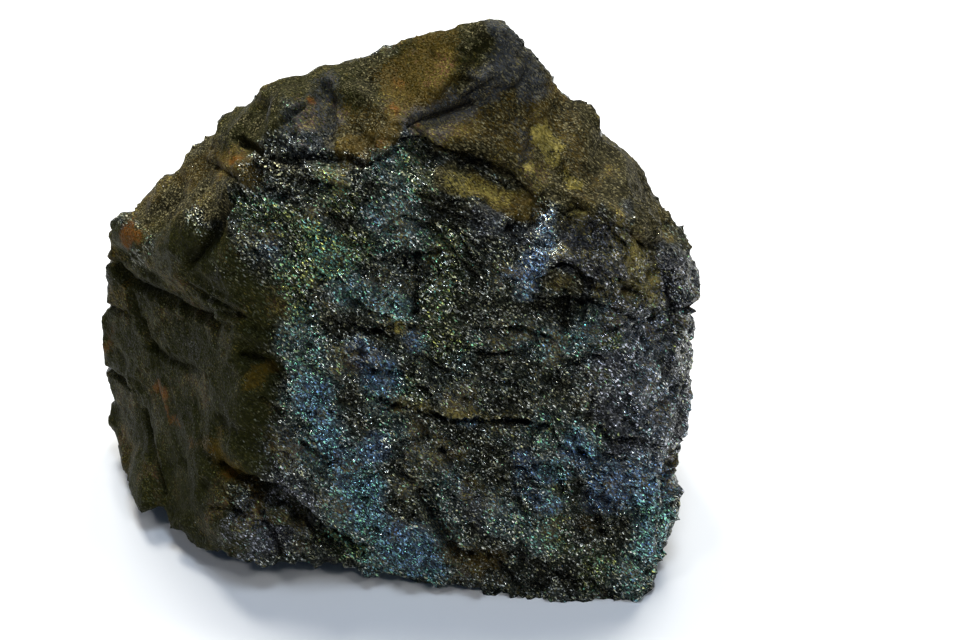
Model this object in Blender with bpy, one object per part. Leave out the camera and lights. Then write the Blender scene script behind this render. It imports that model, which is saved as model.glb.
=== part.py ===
"""Germanite hand specimen: one broken lump of massive, bronze-grey germanite ore.

The whole specimen is one solid. It is modelled in metres, +Z up, standing on its flattest broken
face, with its origin at the middle of its footprint. A cage of named corners gives the lump its big
fracture faces. Chips, layers, ledges, cracks and knobs are then carved into that cage, and the base
is cut flat where the lump rests.
"""

from dataclasses import dataclass

import bmesh
import bpy
import numpy as np
from mathutils import Vector, noise

MM = 0.001

# Driving dimensions of the finished lump, in metres.
WIDTH = 0.0855
DEPTH = 0.0580
HEIGHT = 0.0720

# Everything below is in millimetres, until fit_to_size scales the lump to metres.
HEART = Vector((0.0, 3.0, 30.0))
SURFACE_GRID = 0.85
EDGE_WEAR_PASSES = 3
LEDGE_WEAR_PASSES = 2
TRIANGLE_BUDGET = 9300
FLOOR_LEVEL = 0.0

# The broken relief: flat chips with a tilt each, layers that stand out by a rise, and a long swell.
BIG_CHIP_SIZE = 13.0
BIG_CHIP_TILT = 0.24
SMALL_CHIP_SIZE = 6.5
SMALL_CHIP_TILT = 0.16
LAYER_THICKNESS = 6.5
LAYER_RISE = 0.8
SWELL_SIZE = 15.0
SWELL_RISE = 0.5
SKIN_LOSS = 0.1

# The ore parts along thin layers, which dip to the right and slightly to the front.
LAYER_NORMAL = Vector((0.36, -0.22, 0.90)).normalized()
LAYER_SQUEEZE = 1.7
TILT_OFFSETS = (Vector((31.4, 0.0, 0.0)), Vector((0.0, 27.2, 0.0)), Vector((0.0, 0.0, 41.7)))

# Corners of the lump in millimetres, named by the face or edge that they bound. The front face looks
# along -Y, and the right side is +X.
CREST = {
    "apex": (14.5, 8, 71.5),
    "apex_left": (10, 9.5, 70.5),
    "crown_shoulder": (5, 11, 69.5),
    "crown_dip": (1, 11, 68.5),
    "saddle_right": (-2.5, 10.5, 66.5),
    "saddle": (-6.5, 10, 64.5),
    "left_peak": (-15, 11, 62.5),
    "left_slope_high": (-22.5, 14, 55),
    "left_slope_mid": (-27.5, 14, 50.5),
    "left_slope_low": (-32.5, 14, 45),
    "knob_notch": (-36.5, 13.5, 41.5),
    "knob_top": (-40, 12, 39.5),
    "knob_low": (-41, 12, 36.5),
    "apex_right": (18.5, 8, 67.5),
    "right_dip": (22.5, 8, 62),
    "right_slope_top": (27.5, 8, 59),
    "right_slope_high": (29.5, 8, 55.5),
    "right_slope_mid": (33.5, 7, 49),
    "right_slope_low": (36, 6, 45),
}
LEFT_EDGE = {
    "tooth_high": (-42, 13, 30),
    "tooth_gap": (-42, 13, 26),
    "tooth_low": (-44, 14, 21.5),
    "flank_high": (-44, 13, 14.5),
    "flank_mid": (-43.5, 11, 5),
    "flank_low": (-42, 7, 2),
}
RIGHT_EDGE = {
    "right_shoulder": (39.5, 4, 42),
    "right_lip": (40.5, 2, 38),
    "right_lip_low": (40, -1, 33.5),
    "right_waist": (39, -5, 30),
    "right_mid": (39.5, -8, 23),
    "right_notch": (38.5, -12, 14),
    "right_low": (38.5, -14, 7),
    "right_heel": (37, -17, 2),
}
FOOT = {
    "toe_left": (-40, -1.5, 3.5),
    "toe_corner": (-37, -9, 3.5),
    "toe_side": (-33.5, -12.5, 3.5),
    "toe_bend": (-29, -15, 3.5),
    "toe_front": (-25, -17.5, 4),
    "toe_right": (-18.5, -20.5, 3.5),
    "toe_arch": (-10, -20, 4),
    "sole_left": (1, -21, 1.5),
    "sole_notch": (5.5, -21, 2.5),
    "foot_left": (13, -22, -0.5),
    "foot_mid": (22.5, -22.5, -0.5),
    "foot_right": (33, -23, -0.5),
    "foot_corner": (35.5, -21, 1),
}
BROW = {
    "brow_left": (-1, -6, 58.5),
    "brow_mid": (5, -7.5, 54.5),
    "brow_hollow": (18, -8, 50.5),
    "brow_rise": (23.5, -8.5, 53),
    "brow_right": (32, -10, 49.5),
    "brow_end": (36.5, -4, 41.5),
    "band_high": (12.5, 4, 67),
    "band_low": (5, -1, 61),
    "left_roof_front": (-20, -1.5, 58),
    "left_roof_mid": (-10.5, -5, 58),
    "left_roof_back": (-20, 4, 57.5),
}
FRONT = {
    "front_left_top": (-23.5, -4, 49.5),
    "front_left_high": (-21.5, -10.5, 37.5),
    "front_left_mid": (-20.5, -15.5, 28),
    "front_left_low": (-22.5, -18, 18.5),
    "front_left_toe": (-25, -19, 9),
    "front_high_left": (-8, -9.5, 48),
    "front_high_mid": (7.5, -12.5, 42),
    "front_high_right": (31, -13.5, 37),
    "front_mid_left": (-7, -16.5, 29),
    "front_mid": (11.5, -18.5, 25.5),
    "front_mid_right": (33.5, -18.5, 23),
    "front_low_left": (-12.5, -22, 16.5),
    "front_low": (3.5, -21.5, 14.5),
    "front_low_mid": (19.5, -22.5, 12),
    "front_low_right": (35, -21, 13),
}
LEFT_FACE = {
    "left_face_high": (-31, 0, 42),
    "left_face_mid": (-32.5, 2, 27.5),
    "left_face_low": (-33, -2, 15),
    "left_face_toe": (-31.5, -9, 6.5),
}
BACK = {
    "back_top_left": (-12, 20, 57),
    "back_top": (18, 19, 59),
    "back_top_right": (33, 15, 46),
    "back_right": (41, 13, 29),
    "right_bulge": (41, 4, 22),
    "back_right_heel": (38, 11, 4),
    "back_shoulder": (-30, 25, 41),
    "back_left": (-40, 23, 20),
    "back_left_heel": (-36, 20, 4),
    "back_left_foot": (-23, 31, 6),
    "back_ridge": (-8, 34, 27),
    "back_ridge_foot": (-3, 33, 5),
    "back_corner": (35, 25, 21),
    "back_corner_foot": (27, 28, 5),
}
# These corners lie below the floor, so the cut that makes the resting face goes through them.
UNDERSIDE = {
    "base_front": (8, -17, -2),
    "base_front_right": (32, -19, -2),
    "base_right": (36, 0, -2),
    "base_back_right": (26, 22, -2),
    "base_back": (0, 26, -2),
    "base_back_left": (-24, 20, -2),
    "base_left": (-27, 6, -2),
    "base_front_left": (-12, -6, -2),
}
FACES = (CREST, LEFT_EDGE, RIGHT_EDGE, FOOT, BROW, FRONT, LEFT_FACE, BACK, UNDERSIDE)


@dataclass(frozen=True)
class Crease:
    """A crack, groove or ledge along a line of points.

    depth sinks a groove of the given width along the line. step sinks the ground on the right-hand
    side of the line, as seen from outside, and reach is how far that sunk ground runs out.
    """

    points: tuple
    depth: float = 0.0
    width: float = 1.2
    step: float = 0.0
    reach: float = 6.0


@dataclass(frozen=True)
class Lump:
    """A round knob of the given rise, or a scoop where the rise is negative."""

    centre: tuple
    radius: float
    rise: float


@dataclass(frozen=True)
class Calm:
    """A patch where the broken surface is smoother than elsewhere."""

    centre: tuple
    radius: float
    share: float


CREASES = (
    # The overhung ledge under the brow, and the striations below it.
    Crease(
        ((2, -2, 60), (6, -3, 59), (11, -3, 58), (14, -3, 57), (16, -4, 56), (18, -4, 53)),
        depth=1.9,
        width=1.0,
        step=1.2,
        reach=7,
    ),
    Crease(((4, -7, 55), (8, -8, 53), (11, -8, 51), (17, -9, 49)), 0.7, 1.0, 0.8, 5),
    # The band that runs down from the apex, with a ledge on each side.
    Crease(((16, 7, 70), (11, 6, 68), (8, 3, 65), (5, 1, 62), (2, -3, 60), (-1, -5, 59)), 0.5, 1.2, -1.3, 9),
    Crease(((5, 0, 62), (8, 1, 63), (11, 2, 65), (15, 4, 65)), 0.8, 0.9, 0.9, 5),
    # The rim over the right shoulder and the shelf under it.
    Crease(
        ((23, -8, 53), (28, -9, 51), (32, -10, 49), (35, -7, 45), (36, -5, 40), (37, -6, 33)),
        depth=0.5,
        width=1.0,
        step=1.3,
        reach=6,
    ),
    Crease(((24, -9, 51), (27, -9, 50), (32, -9, 46), (34, -7, 40)), 0.4, 0.9, 1.0, 5),
    Crease(((19, -12, 44), (24, -11, 44), (27, -12, 44), (30, -11, 41)), 0.7, 0.9, 1.1, 5),
    Crease(((24, -10, 46), (27, -11, 45), (31, -10, 43)), 0.4, 0.8, 0.7, 4),
    # The upright crack above the middle, and two short ones to its right.
    Crease(((4, -10, 49), (4, -11, 46), (3, -12, 43), (3, -13, 39)), 1.2, 1.0, -0.9, 6),
    Crease(((22, -12, 43), (22, -14, 39)), 0.7, 0.8),
    Crease(((25, -12, 43), (25, -13, 40)), 0.7, 0.8),
    # The long ledge across the middle, and the ledges above its left end.
    Crease(((-2, -17, 30), (2, -17, 28), (6, -18, 28), (10, -18, 27), (18, -18, 27)), 0.8, 0.9, 1.2, 6),
    Crease(((-4, -13, 39), (0, -13, 39), (4, -14, 38)), 0.5, 0.9, 1.0, 5),
    Crease(((-5, -15, 33), (-2, -15, 33), (1, -16, 33)), 0.4, 0.9, 0.8, 4),
    Crease(((-21, -12, 35), (-18, -13, 33), (-15, -14, 31)), 0.9, 1.0, 0.6, 4),
    Crease(((-18, -16, 28), (-14, -17, 26)), 0.6, 0.9, 0.5, 4),
    # The deep groove over the toe at the lower left.
    Crease(
        ((-25, -15, 18), (-21, -19, 18), (-17, -20, 17), (-13, -22, 14), (-9, -21, 11), (-6, -20, 7)),
        depth=2.0,
        width=1.6,
        step=0.8,
        reach=6,
    ),
    # Cracks and ledges low on the front face.
    Crease(((4, -21, 17), (6, -21, 13), (8, -21, 7)), 1.0, 1.1, -0.7, 5),
    Crease(((28, -19, 24), (31, -18, 23), (34, -15, 20)), 0.6, 0.9, 1.2, 5),
    Crease(((24, -20, 20), (26, -21, 16)), 0.7, 0.9, 0.5, 4),
    Crease(((27, -21, 17), (30, -22, 13)), 0.5, 0.9, 0.6, 4),
    # The edge between the front face and the narrow dark face on its right.
    Crease(((36, -13, 22), (36, -16, 16), (36, -18, 11), (36, -20, 4)), 0.4, 1.0, -0.6, 4),
    # Grooves across the left face, and the break behind the left shoulder.
    Crease(((-41, 11, 36), (-34, 4, 36), (-26, -5, 36)), 1.0, 1.3, 1.2, 6),
    Crease(((-27, -4, 41), (-22, -9, 40)), 0.6, 1.0, 0.5, 4),
    Crease(((-23, -3, 52), (-23, -5, 49), (-24, -5, 45)), 0.9, 1.2, 0.9, 5),
    # Ledges and one long crack over the back.
    Crease(((30, 20, 42), (18, 26, 40), (4, 29, 40), (-8, 30, 44)), 0.7, 1.0, 1.6, 8),
    Crease(((32, 26, 14), (20, 30, 17), (8, 32, 15)), 0.8, 1.0, 1.2, 7),
    Crease(((-12, 31, 40), (-16, 31, 30), (-15, 32, 18), (-20, 31, 9)), 1.3, 1.2, 0.8, 6),
    Crease(((39, 3, 34), (41, 10, 33), (38, 18, 31)), 0.7, 1.0, 1.2, 6),
    Crease(((39, -6, 15), (40, 4, 13), (38, 14, 12)), 0.8, 1.0, 1.0, 6),
    # Breaks across the upper left roof.
    Crease(((-20, 2, 58), (-14, -1, 58), (-9, -4, 59), (-4, -4, 59)), 0.9, 1.2, 1.0, 6),
    Crease(((-9, 8, 63), (-9, 3, 62), (-10, -2, 60)), 0.9, 1.2, -0.9, 5),
    Crease(((-16, 8, 61), (-18, 4, 59), (-20, 0, 56)), 0.5, 1.1, 0.9, 5),
)
LUMPS = (
    Lump((-29, 1, 45), 8.0, 1.6),
    Lump((-32, 11, 44), 4.5, 0.8),
    Lump((-8, 0, 60), 7.5, -1.6),
    Lump((-13, 4, 61), 6.0, 0.9),
    Lump((-20, -20, 10), 8.0, 1.8),
    Lump((10, -12, 43), 8.0, 1.2),
    Lump((27, -16, 35), 8.5, 1.0),
    Lump((5, -15, 35), 6.0, -1.0),
    Lump((-13, -18, 23), 7.0, -0.8),
    Lump((6, -20, 21), 7.0, -0.9),
    Lump((18, -15, 36), 6.5, -0.9),
    Lump((20, -22, 13), 9.0, 1.1),
    Lump((13, -6, 55), 5.5, -0.8),
    Lump((39, -14, 9), 4.0, 0.8),
    Lump((14, 30, 24), 13.0, -1.8),
    Lump((-24, 30, 26), 10.0, -1.2),
    Lump((8, 26, 46), 9.0, 1.2),
    Lump((41, 9, 30), 8.0, -1.2),
    Lump((-42, 18, 12), 8.0, 1.2),
)
CALM_PATCHES = (
    Calm((16, 0, 61), 15.0, 0.35),
    Calm((4, 5, 67), 9.0, 0.45),
    Calm((-33, 3, 26), 20.0, 0.25),
    Calm((13, -6, 55), 6.0, 0.5),
)


def smooth_step(value):
    """0 below 0, 1 above 1, and an S-shaped rise between, for an array."""
    value = np.clip(value, 0.0, 1.0)
    return value * value * (3.0 - 2.0 * value)


def cage_mesh():
    """The closed cage through every corner. Neighbours are found on a unit sphere about the heart."""
    corners = [Vector(corner) for face in FACES for corner in face.values()]
    cage = bmesh.new()
    for corner in corners:
        cage.verts.new((corner - HEART).normalized())
    bmesh.ops.convex_hull(cage, input=cage.verts)
    for vert, corner in zip(cage.verts, corners):
        vert.co = corner
    bmesh.ops.recalc_face_normals(cage, faces=cage.faces)
    mesh = bpy.data.meshes.new("lump_cage")
    cage.to_mesh(mesh)
    cage.free()
    return mesh


def evaluated_copy(mesh, name, modifiers):
    """The mesh after a list of (type, settings) modifiers, as a plain mesh."""
    helper = bpy.data.objects.new("helper", mesh)
    bpy.context.scene.collection.objects.link(helper)
    for kind, settings in modifiers:
        modifier = helper.modifiers.new(kind.lower(), kind)
        for setting, value in settings.items():
            setattr(modifier, setting, value)
    graph = bpy.context.evaluated_depsgraph_get()
    result = bpy.data.meshes.new_from_object(helper.evaluated_get(graph))
    result.name = name
    bpy.data.objects.remove(helper)
    bpy.data.meshes.remove(mesh)
    return result


def points_and_normals(mesh):
    """Arrays of the mesh's points and of their outward directions."""
    count = len(mesh.vertices)
    points = np.empty(count * 3, np.float32)
    normals = np.empty(count * 3, np.float32)
    mesh.vertices.foreach_get("co", points)
    mesh.vertex_normals.foreach_get("vector", normals)
    return points.reshape(-1, 3).astype(float), normals.reshape(-1, 3).astype(float)


def noise_field(points, size, seed):
    """Smooth noise between about -1 and 1, with features of the given size."""
    shift = Vector((seed * 17.3, seed * -9.1, seed * 5.7))
    return np.array([noise.noise(Vector(point) / size + shift) for point in points])


def chip_field(points, size, slope, seed):
    """Flat chips: each cell of a squeezed Voronoi pattern is a plane with its own tilt."""
    shift = Vector((seed * 3.7, seed * 11.9, seed * -6.3))
    heights = np.empty(len(points))
    for index, point in enumerate(points):
        place = Vector(point)
        place += LAYER_NORMAL * (place.dot(LAYER_NORMAL) * (LAYER_SQUEEZE - 1.0))
        place = place / size + shift
        cell = noise.voronoi(place)[1][0]
        tilt = Vector([noise.noise(cell * 2.3 + shift + offset) for offset in TILT_OFFSETS])
        heights[index] = slope * size * (place - cell).dot(tilt)
    return heights


def layer_field(points, thickness, seed):
    """Stacked layers that each stand out by their own amount, between about -1 and 1."""
    normal = np.array(LAYER_NORMAL)
    warp = noise_field(points, 22.0, seed + 1)
    level = points @ normal / thickness + 0.7 * warp
    lower = np.floor(level)
    blend = smooth_step((level - lower - 0.36) / 0.28)
    heights = np.empty((2, len(points)))
    for row in range(2):
        for index, point in enumerate(points):
            place = Vector(point) / (thickness * 2.6)
            place += LAYER_NORMAL * ((lower[index] + row) * 5.3) + Vector((seed, seed, seed))
            heights[row, index] = noise.noise(place)
    return heights[0] * (1.0 - blend) + heights[1] * blend


def nearest_on_line(points, line):
    """Distance to a polyline, the signed side of it, and how far along it the nearest point is."""
    best = np.full(len(points), np.inf)
    offset = np.zeros((len(points), 3))
    heading = np.zeros((len(points), 3))
    along = np.zeros(len(points))
    lengths = np.linalg.norm(np.diff(line, axis=0), axis=1)
    total = lengths.sum()
    for start, end, length, before in zip(line[:-1], line[1:], lengths, np.cumsum(lengths) - lengths):
        direction = (end - start) / length
        reach = np.clip((points - start) @ direction, 0.0, length)
        apart = points - (start + reach[:, None] * direction)
        distance = np.linalg.norm(apart, axis=1)
        nearer = distance < best
        best[nearer] = distance[nearer]
        offset[nearer] = apart[nearer]
        heading[nearer] = direction
        along[nearer] = (before + reach[nearer]) / total
    return best, offset, heading, along


def crease_field(points, normals, crease):
    """The height that one crease adds at every point."""
    line = np.array(crease.points, float)
    wander = 0.5 * noise_field(points, 3.0, 7)
    distance, offset, heading, along = nearest_on_line(points, line)
    side = np.einsum("ij,ij->i", offset, np.cross(heading, normals)) + wander
    fade = smooth_step(along / 0.15 + 0.3) * smooth_step((1.0 - along) / 0.15 + 0.3)
    height = -crease.depth * np.exp(-((distance + wander) / crease.width) ** 2) * fade
    if crease.step:
        over = smooth_step(side / 0.9 + 0.5)
        away = np.exp(-((distance / crease.reach) ** 2))
        height -= crease.step * (over - 0.35) * away * fade
    return height


def lump_field(points, lump):
    """The height that one knob or scoop adds at every point."""
    distance = np.linalg.norm(points - np.array(lump.centre, float), axis=1) / lump.radius
    return lump.rise * np.clip(1.0 - distance**2, 0.0, None) ** 2


def calm_share(points):
    """How much of the broken relief is left at every point."""
    share = np.ones(len(points))
    for patch in CALM_PATCHES:
        distance = np.linalg.norm(points - np.array(patch.centre, float), axis=1) / patch.radius
        share *= 1.0 - (1.0 - patch.share) * smooth_step(1.4 - distance * 1.2)
    return share


def carve(mesh):
    """Moves the points of the fine mesh along their outward directions by all of the relief."""
    points, normals = points_and_normals(mesh)
    broken = chip_field(points, BIG_CHIP_SIZE, BIG_CHIP_TILT, seed=1)
    broken += chip_field(points, SMALL_CHIP_SIZE, SMALL_CHIP_TILT, seed=2)
    broken += LAYER_RISE * layer_field(points, LAYER_THICKNESS, seed=3)
    height = broken * calm_share(points) - SKIN_LOSS
    height += SWELL_RISE * noise_field(points, SWELL_SIZE, seed=6)
    for crease in CREASES:
        height += crease_field(points, normals, crease)
    for lump in LUMPS:
        height += lump_field(points, lump)
    points += normals * height[:, None]
    mesh.vertices.foreach_set("co", points.astype(np.float32).ravel())
    mesh.update()
    return mesh


def drop_crumbs(lump):
    """Deletes every loose crumb, and keeps the one big body."""
    unseen = set(lump.verts)
    bodies = []
    while unseen:
        edge_of_body = [unseen.pop()]
        body = set(edge_of_body)
        while edge_of_body:
            for edge in edge_of_body.pop().link_edges:
                for vert in edge.verts:
                    if vert in unseen:
                        unseen.remove(vert)
                        body.add(vert)
                        edge_of_body.append(vert)
        bodies.append(body)
    biggest = max(bodies, key=len)
    crumbs = [vert for vert in lump.verts if vert not in biggest]
    bmesh.ops.delete(lump, geom=crumbs, context="VERTS")


def cut_flat(mesh, level):
    """Cuts the mesh off at a level, and closes the cut with one flat face."""
    lump = bmesh.new()
    lump.from_mesh(mesh)
    everything = lump.verts[:] + lump.edges[:] + lump.faces[:]
    bmesh.ops.bisect_plane(
        lump, geom=everything, dist=1e-5, plane_co=(0, 0, level), plane_no=(0, 0, -1), clear_outer=True
    )
    drop_crumbs(lump)
    rim = [edge for edge in lump.edges if edge.is_boundary]
    bmesh.ops.holes_fill(lump, edges=rim, sides=0)
    bmesh.ops.triangulate(lump, faces=lump.faces[:])
    bmesh.ops.recalc_face_normals(lump, faces=lump.faces)
    lump.to_mesh(mesh)
    lump.free()
    return mesh


def fit_to_size(mesh):
    """Scales the lump to its driving dimensions, with the origin at the middle of its footprint."""
    points, _ = points_and_normals(mesh)
    lowest = points.min(axis=0)
    highest = points.max(axis=0)
    foot = np.array([(lowest[0] + highest[0]) / 2, (lowest[1] + highest[1]) / 2, lowest[2]])
    scale = np.array([WIDTH, DEPTH, HEIGHT]) / (highest - lowest)
    mesh.vertices.foreach_set("co", ((points - foot) * scale).astype(np.float32).ravel())
    mesh.update()
    return mesh


def ore_material():
    """Dark bronze-grey sulphide ore with a dull metallic shine."""
    material = bpy.data.materials.new("germanite_ore")
    material.use_nodes = True
    shader = material.node_tree.nodes["Principled BSDF"]
    shader.inputs["Base Color"].default_value = (0.105, 0.098, 0.082, 1.0)
    shader.inputs["Roughness"].default_value = 0.58
    shader.inputs["Metallic"].default_value = 0.35
    return material


def build_rock():
    """The finished lump, as one object."""
    worn_grid = [
        ("REMESH", {"mode": "VOXEL", "voxel_size": SURFACE_GRID, "use_smooth_shade": True}),
        ("SMOOTH", {"factor": 0.5, "iterations": EDGE_WEAR_PASSES}),
    ]
    mesh = evaluated_copy(cage_mesh(), "fine_lump", worn_grid)
    mesh = carve(mesh)
    triangles = sum(len(face.vertices) - 2 for face in mesh.polygons)
    fewer = [
        ("SMOOTH", {"factor": 0.5, "iterations": LEDGE_WEAR_PASSES}),
        ("DECIMATE", {"decimate_type": "COLLAPSE", "ratio": TRIANGLE_BUDGET / triangles}),
    ]
    mesh = evaluated_copy(mesh, "germanite_rock", fewer)
    mesh = fit_to_size(cut_flat(mesh, FLOOR_LEVEL))
    mesh.materials.append(ore_material())
    mesh.shade_smooth()
    mesh.set_sharp_from_angle(angle=0.6)
    rock = bpy.data.objects.new("germanite_rock", mesh)
    bpy.context.scene.collection.objects.link(rock)
    return rock


for old in list(bpy.data.objects):
    bpy.data.objects.remove(old)
build_rock()
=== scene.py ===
"""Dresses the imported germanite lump: fine broken relief, tarnish, stains, loose grains and a studio."""

import logging
import math
from dataclasses import dataclass, field, replace
from enum import Enum, IntEnum
from typing import Any, Callable, NamedTuple, TypeVar, Union

import bmesh
import bpy
import numpy as np
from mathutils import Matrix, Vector, noise
from mathutils.bvhtree import BVHTree


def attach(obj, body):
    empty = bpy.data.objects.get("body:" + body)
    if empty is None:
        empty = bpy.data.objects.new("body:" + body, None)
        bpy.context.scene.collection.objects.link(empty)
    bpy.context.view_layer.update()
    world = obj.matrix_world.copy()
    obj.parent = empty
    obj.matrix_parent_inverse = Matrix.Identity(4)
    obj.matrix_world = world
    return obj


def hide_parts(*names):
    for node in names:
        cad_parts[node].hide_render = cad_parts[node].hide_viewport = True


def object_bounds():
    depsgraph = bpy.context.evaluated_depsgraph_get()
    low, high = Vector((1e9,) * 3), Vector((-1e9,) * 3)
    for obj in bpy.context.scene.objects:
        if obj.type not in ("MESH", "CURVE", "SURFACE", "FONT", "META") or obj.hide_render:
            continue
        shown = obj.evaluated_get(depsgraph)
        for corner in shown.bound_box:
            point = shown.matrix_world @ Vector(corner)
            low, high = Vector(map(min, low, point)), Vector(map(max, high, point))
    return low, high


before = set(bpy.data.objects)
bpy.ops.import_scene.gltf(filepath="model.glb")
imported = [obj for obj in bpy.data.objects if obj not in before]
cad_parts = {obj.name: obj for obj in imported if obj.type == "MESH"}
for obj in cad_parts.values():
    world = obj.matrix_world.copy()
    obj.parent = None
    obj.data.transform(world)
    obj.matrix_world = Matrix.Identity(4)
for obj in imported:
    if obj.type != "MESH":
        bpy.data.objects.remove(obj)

CAD_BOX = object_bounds()
LOG = logging.getLogger("germanite")

MM = 0.001
NODE = "germanite_rock"
BODY = "root"
BAKE_MAP = "OFBake"
LOOK_DOWN = math.radians(33.0)

Colour = tuple[float, float, float]
Point = tuple[float, float, float]
Spot = tuple[float, float]
Mark = TypeVar("Mark", "Patch", "Crack")
Socket = bpy.types.NodeSocket
Value = Union[float, int, Colour, "Term", Socket]


def smooth_step(value: np.ndarray) -> np.ndarray:
    """Gives 0 below 0, 1 above 1, and an S-shaped rise between."""
    value = np.clip(value, 0.0, 1.0)
    return value * value * (3.0 - 2.0 * value)


def read_rows(items: Any, name: str, width: int = 1, kind: type = np.float32) -> np.ndarray:
    """Reads one property of all items of a mesh.

    Args:
        items: The mesh's points, faces, corners or stored values.
        name: The property.
        width: How many numbers each item has.
        kind: The type of the numbers.

    Returns:
        One number for each item, or one row for each where there are several.
    """
    values = np.empty(len(items) * width, kind)
    items.foreach_get(name, values)
    return values.reshape(-1, width) if width > 1 else values


def read_shape(mesh: bpy.types.Mesh) -> tuple[np.ndarray, np.ndarray]:
    """Reads a mesh's points and outward directions.

    Args:
        mesh: The mesh.

    Returns:
        Both as arrays, with one row for each point.
    """
    points = read_rows(mesh.vertices, "co", 3)
    normals = read_rows(mesh.vertex_normals, "vector", 3)
    return points.astype(float), normals.astype(float)


def move_points(mesh: bpy.types.Mesh, points: np.ndarray) -> None:
    """Puts a mesh's points to new places, which are given in millimetres."""
    mesh.vertices.foreach_set("co", (points * MM).astype(np.float32).ravel())
    mesh.update()


def link_new(name: str, data: bpy.types.ID) -> bpy.types.Object:
    """Makes an object and puts it into the scene.

    Args:
        name: The object's name.
        data: The mesh, light or camera that it shows.

    Returns:
        The object.
    """
    made = bpy.data.objects.new(name, data)
    bpy.context.scene.collection.objects.link(made)
    return made


def plain_material(name: str, colour: Colour, roughness: float, metallic: float) -> bpy.types.Material:
    """Makes a material of one colour.

    Args:
        name: The material's name.
        colour: Its colour.
        roughness: How rough it is, from 0 to 1.
        metallic: How metallic it is, from 0 to 1.

    Returns:
        The material.
    """
    made = bpy.data.materials.new(name)
    made.use_nodes = True
    shader = made.node_tree.nodes["Principled BSDF"]
    shader.inputs["Base Color"].default_value = (*colour, 1.0)
    shader.inputs["Roughness"].default_value = roughness
    shader.inputs["Metallic"].default_value = metallic
    return made


# ---- Shader and geometry nodes ----


def operator(operation: str, swapped: bool = False) -> Callable[["Term", Value], "Term"]:
    """Makes one of a term's arithmetic operators, which adds a Math node.

    Args:
        operation: The node's operation.
        swapped: Whether the term comes second.

    Returns:
        The operator.
    """

    def work(term: "Term", other: Value) -> "Term":
        """Adds the node and returns its result."""
        first, second = (other, term) if swapped else (term, other)
        return term.graph.term("ShaderNodeMath", {"operation": operation}, {0: first, 1: second})

    return work


@dataclass(frozen=True)
class Term:
    """A number worked out by nodes, on which Python arithmetic adds Math nodes."""

    graph: "NodeGraph"
    socket: Socket

    __add__ = operator("ADD")
    __radd__ = operator("ADD", swapped=True)
    __sub__ = operator("SUBTRACT")
    __rsub__ = operator("SUBTRACT", swapped=True)
    __mul__ = operator("MULTIPLY")
    __rmul__ = operator("MULTIPLY", swapped=True)
    __pow__ = operator("POWER")

    def over(self, edge: Value, width: float) -> "Term":
        """Rises from 0 to 1 over a width that is centred on an edge.

        Args:
            edge: Where the rise has its middle.
            width: How wide the rise is.

        Returns:
            The clamped rise.
        """
        rise = (self - edge) * (1.0 / width) + 0.5
        return self.graph.term("ShaderNodeClamp", {}, {0: rise})

    def capped(self) -> "Term":
        """Keeps the value between 0 and 1."""
        return self.graph.term("ShaderNodeClamp", {}, {0: self})


class NodeGraph:
    """A node tree that is built by short calls."""

    def __init__(self, tree: bpy.types.NodeTree) -> None:
        """Starts on an existing tree."""
        self.tree = tree

    def add(self, kind: str, settings: dict[str, Any], sockets: dict[Any, Value]) -> bpy.types.Node:
        """Adds any node.

        Args:
            kind: The node's type name.
            settings: Properties of the node, set first.
            sockets: Input sockets by name or number, with a value or a link for each.

        Returns:
            The new node.
        """
        node = self.tree.nodes.new(kind)
        for name, value in settings.items():
            setattr(node, name, value)
        for key, value in sockets.items():
            socket = node.inputs[key]
            if isinstance(value, Term):
                self.tree.links.new(value.socket, socket)
            elif isinstance(value, Socket):
                self.tree.links.new(value, socket)
            elif isinstance(value, tuple) and socket.type == "RGBA":
                socket.default_value = (*value, 1.0)
            else:
                socket.default_value = value
        return node

    def term(self, kind: str, settings: dict[str, Any], sockets: dict[Any, Value], output: Any = 0) -> Term:
        """Adds a node and returns one of its outputs as a number."""
        return Term(self, self.add(kind, settings, sockets).outputs[output])

    def mix(self, factor: Value, first: Value, second: Value) -> Socket:
        """Mixes two colours and returns the result."""
        settings = {"data_type": "RGBA", "clamp_factor": True}
        return self.add("ShaderNodeMix", settings, {0: factor, 6: first, 7: second}).outputs[2]

    def vector(self, operation: str, first: Value, second: Value = (0.0, 0.0, 0.0)) -> Socket:
        """Does Vector Math on two vectors and returns the vector."""
        return self.add("ShaderNodeVectorMath", {"operation": operation}, {0: first, 1: second}).outputs[0]

    def scaled(self, vector: Value, scale: Value) -> Socket:
        """Multiplies a vector by a number."""
        sockets = {0: vector, "Scale": scale}
        return self.add("ShaderNodeVectorMath", {"operation": "SCALE"}, sockets).outputs[0]


# ---- Where things are on the lump, in millimetres ----


class Coat(Enum):
    """A colour or skin that covers parts of the ore. The value is the name of its mask."""

    GOLD = "tarnish_gold"
    TEAL = "tarnish_teal"
    BLUE = "tarnish_blue"
    SHEEN = "grey_sheen"
    OCHRE = "ochre_stain"
    RUST = "rust_spot"
    BROWN = "brown_skin"
    OLIVE = "olive_skin"
    VIOLET = "violet_band"
    PALE = "pale_speck"


class Elevation(Enum):
    """A flat drawing of the lump, by its right-hand, upward and outward directions."""

    HIGH_FRONT = (
        (1.0, 0.0, 0.0),
        (0.0, math.sin(LOOK_DOWN), math.cos(LOOK_DOWN)),
        (0.0, -math.cos(LOOK_DOWN), math.sin(LOOK_DOWN)),
    )
    BACK = ((-1.0, 0.0, 0.0), (0.0, 0.0, 1.0), (0.0, 1.0, 0.0))
    LEFT = ((0.0, -1.0, 0.0), (0.0, 0.0, 1.0), (-1.0, 0.0, 0.0))
    RIGHT = ((0.0, 1.0, 0.0), (0.0, 0.0, 1.0), (1.0, 0.0, 0.0))


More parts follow.
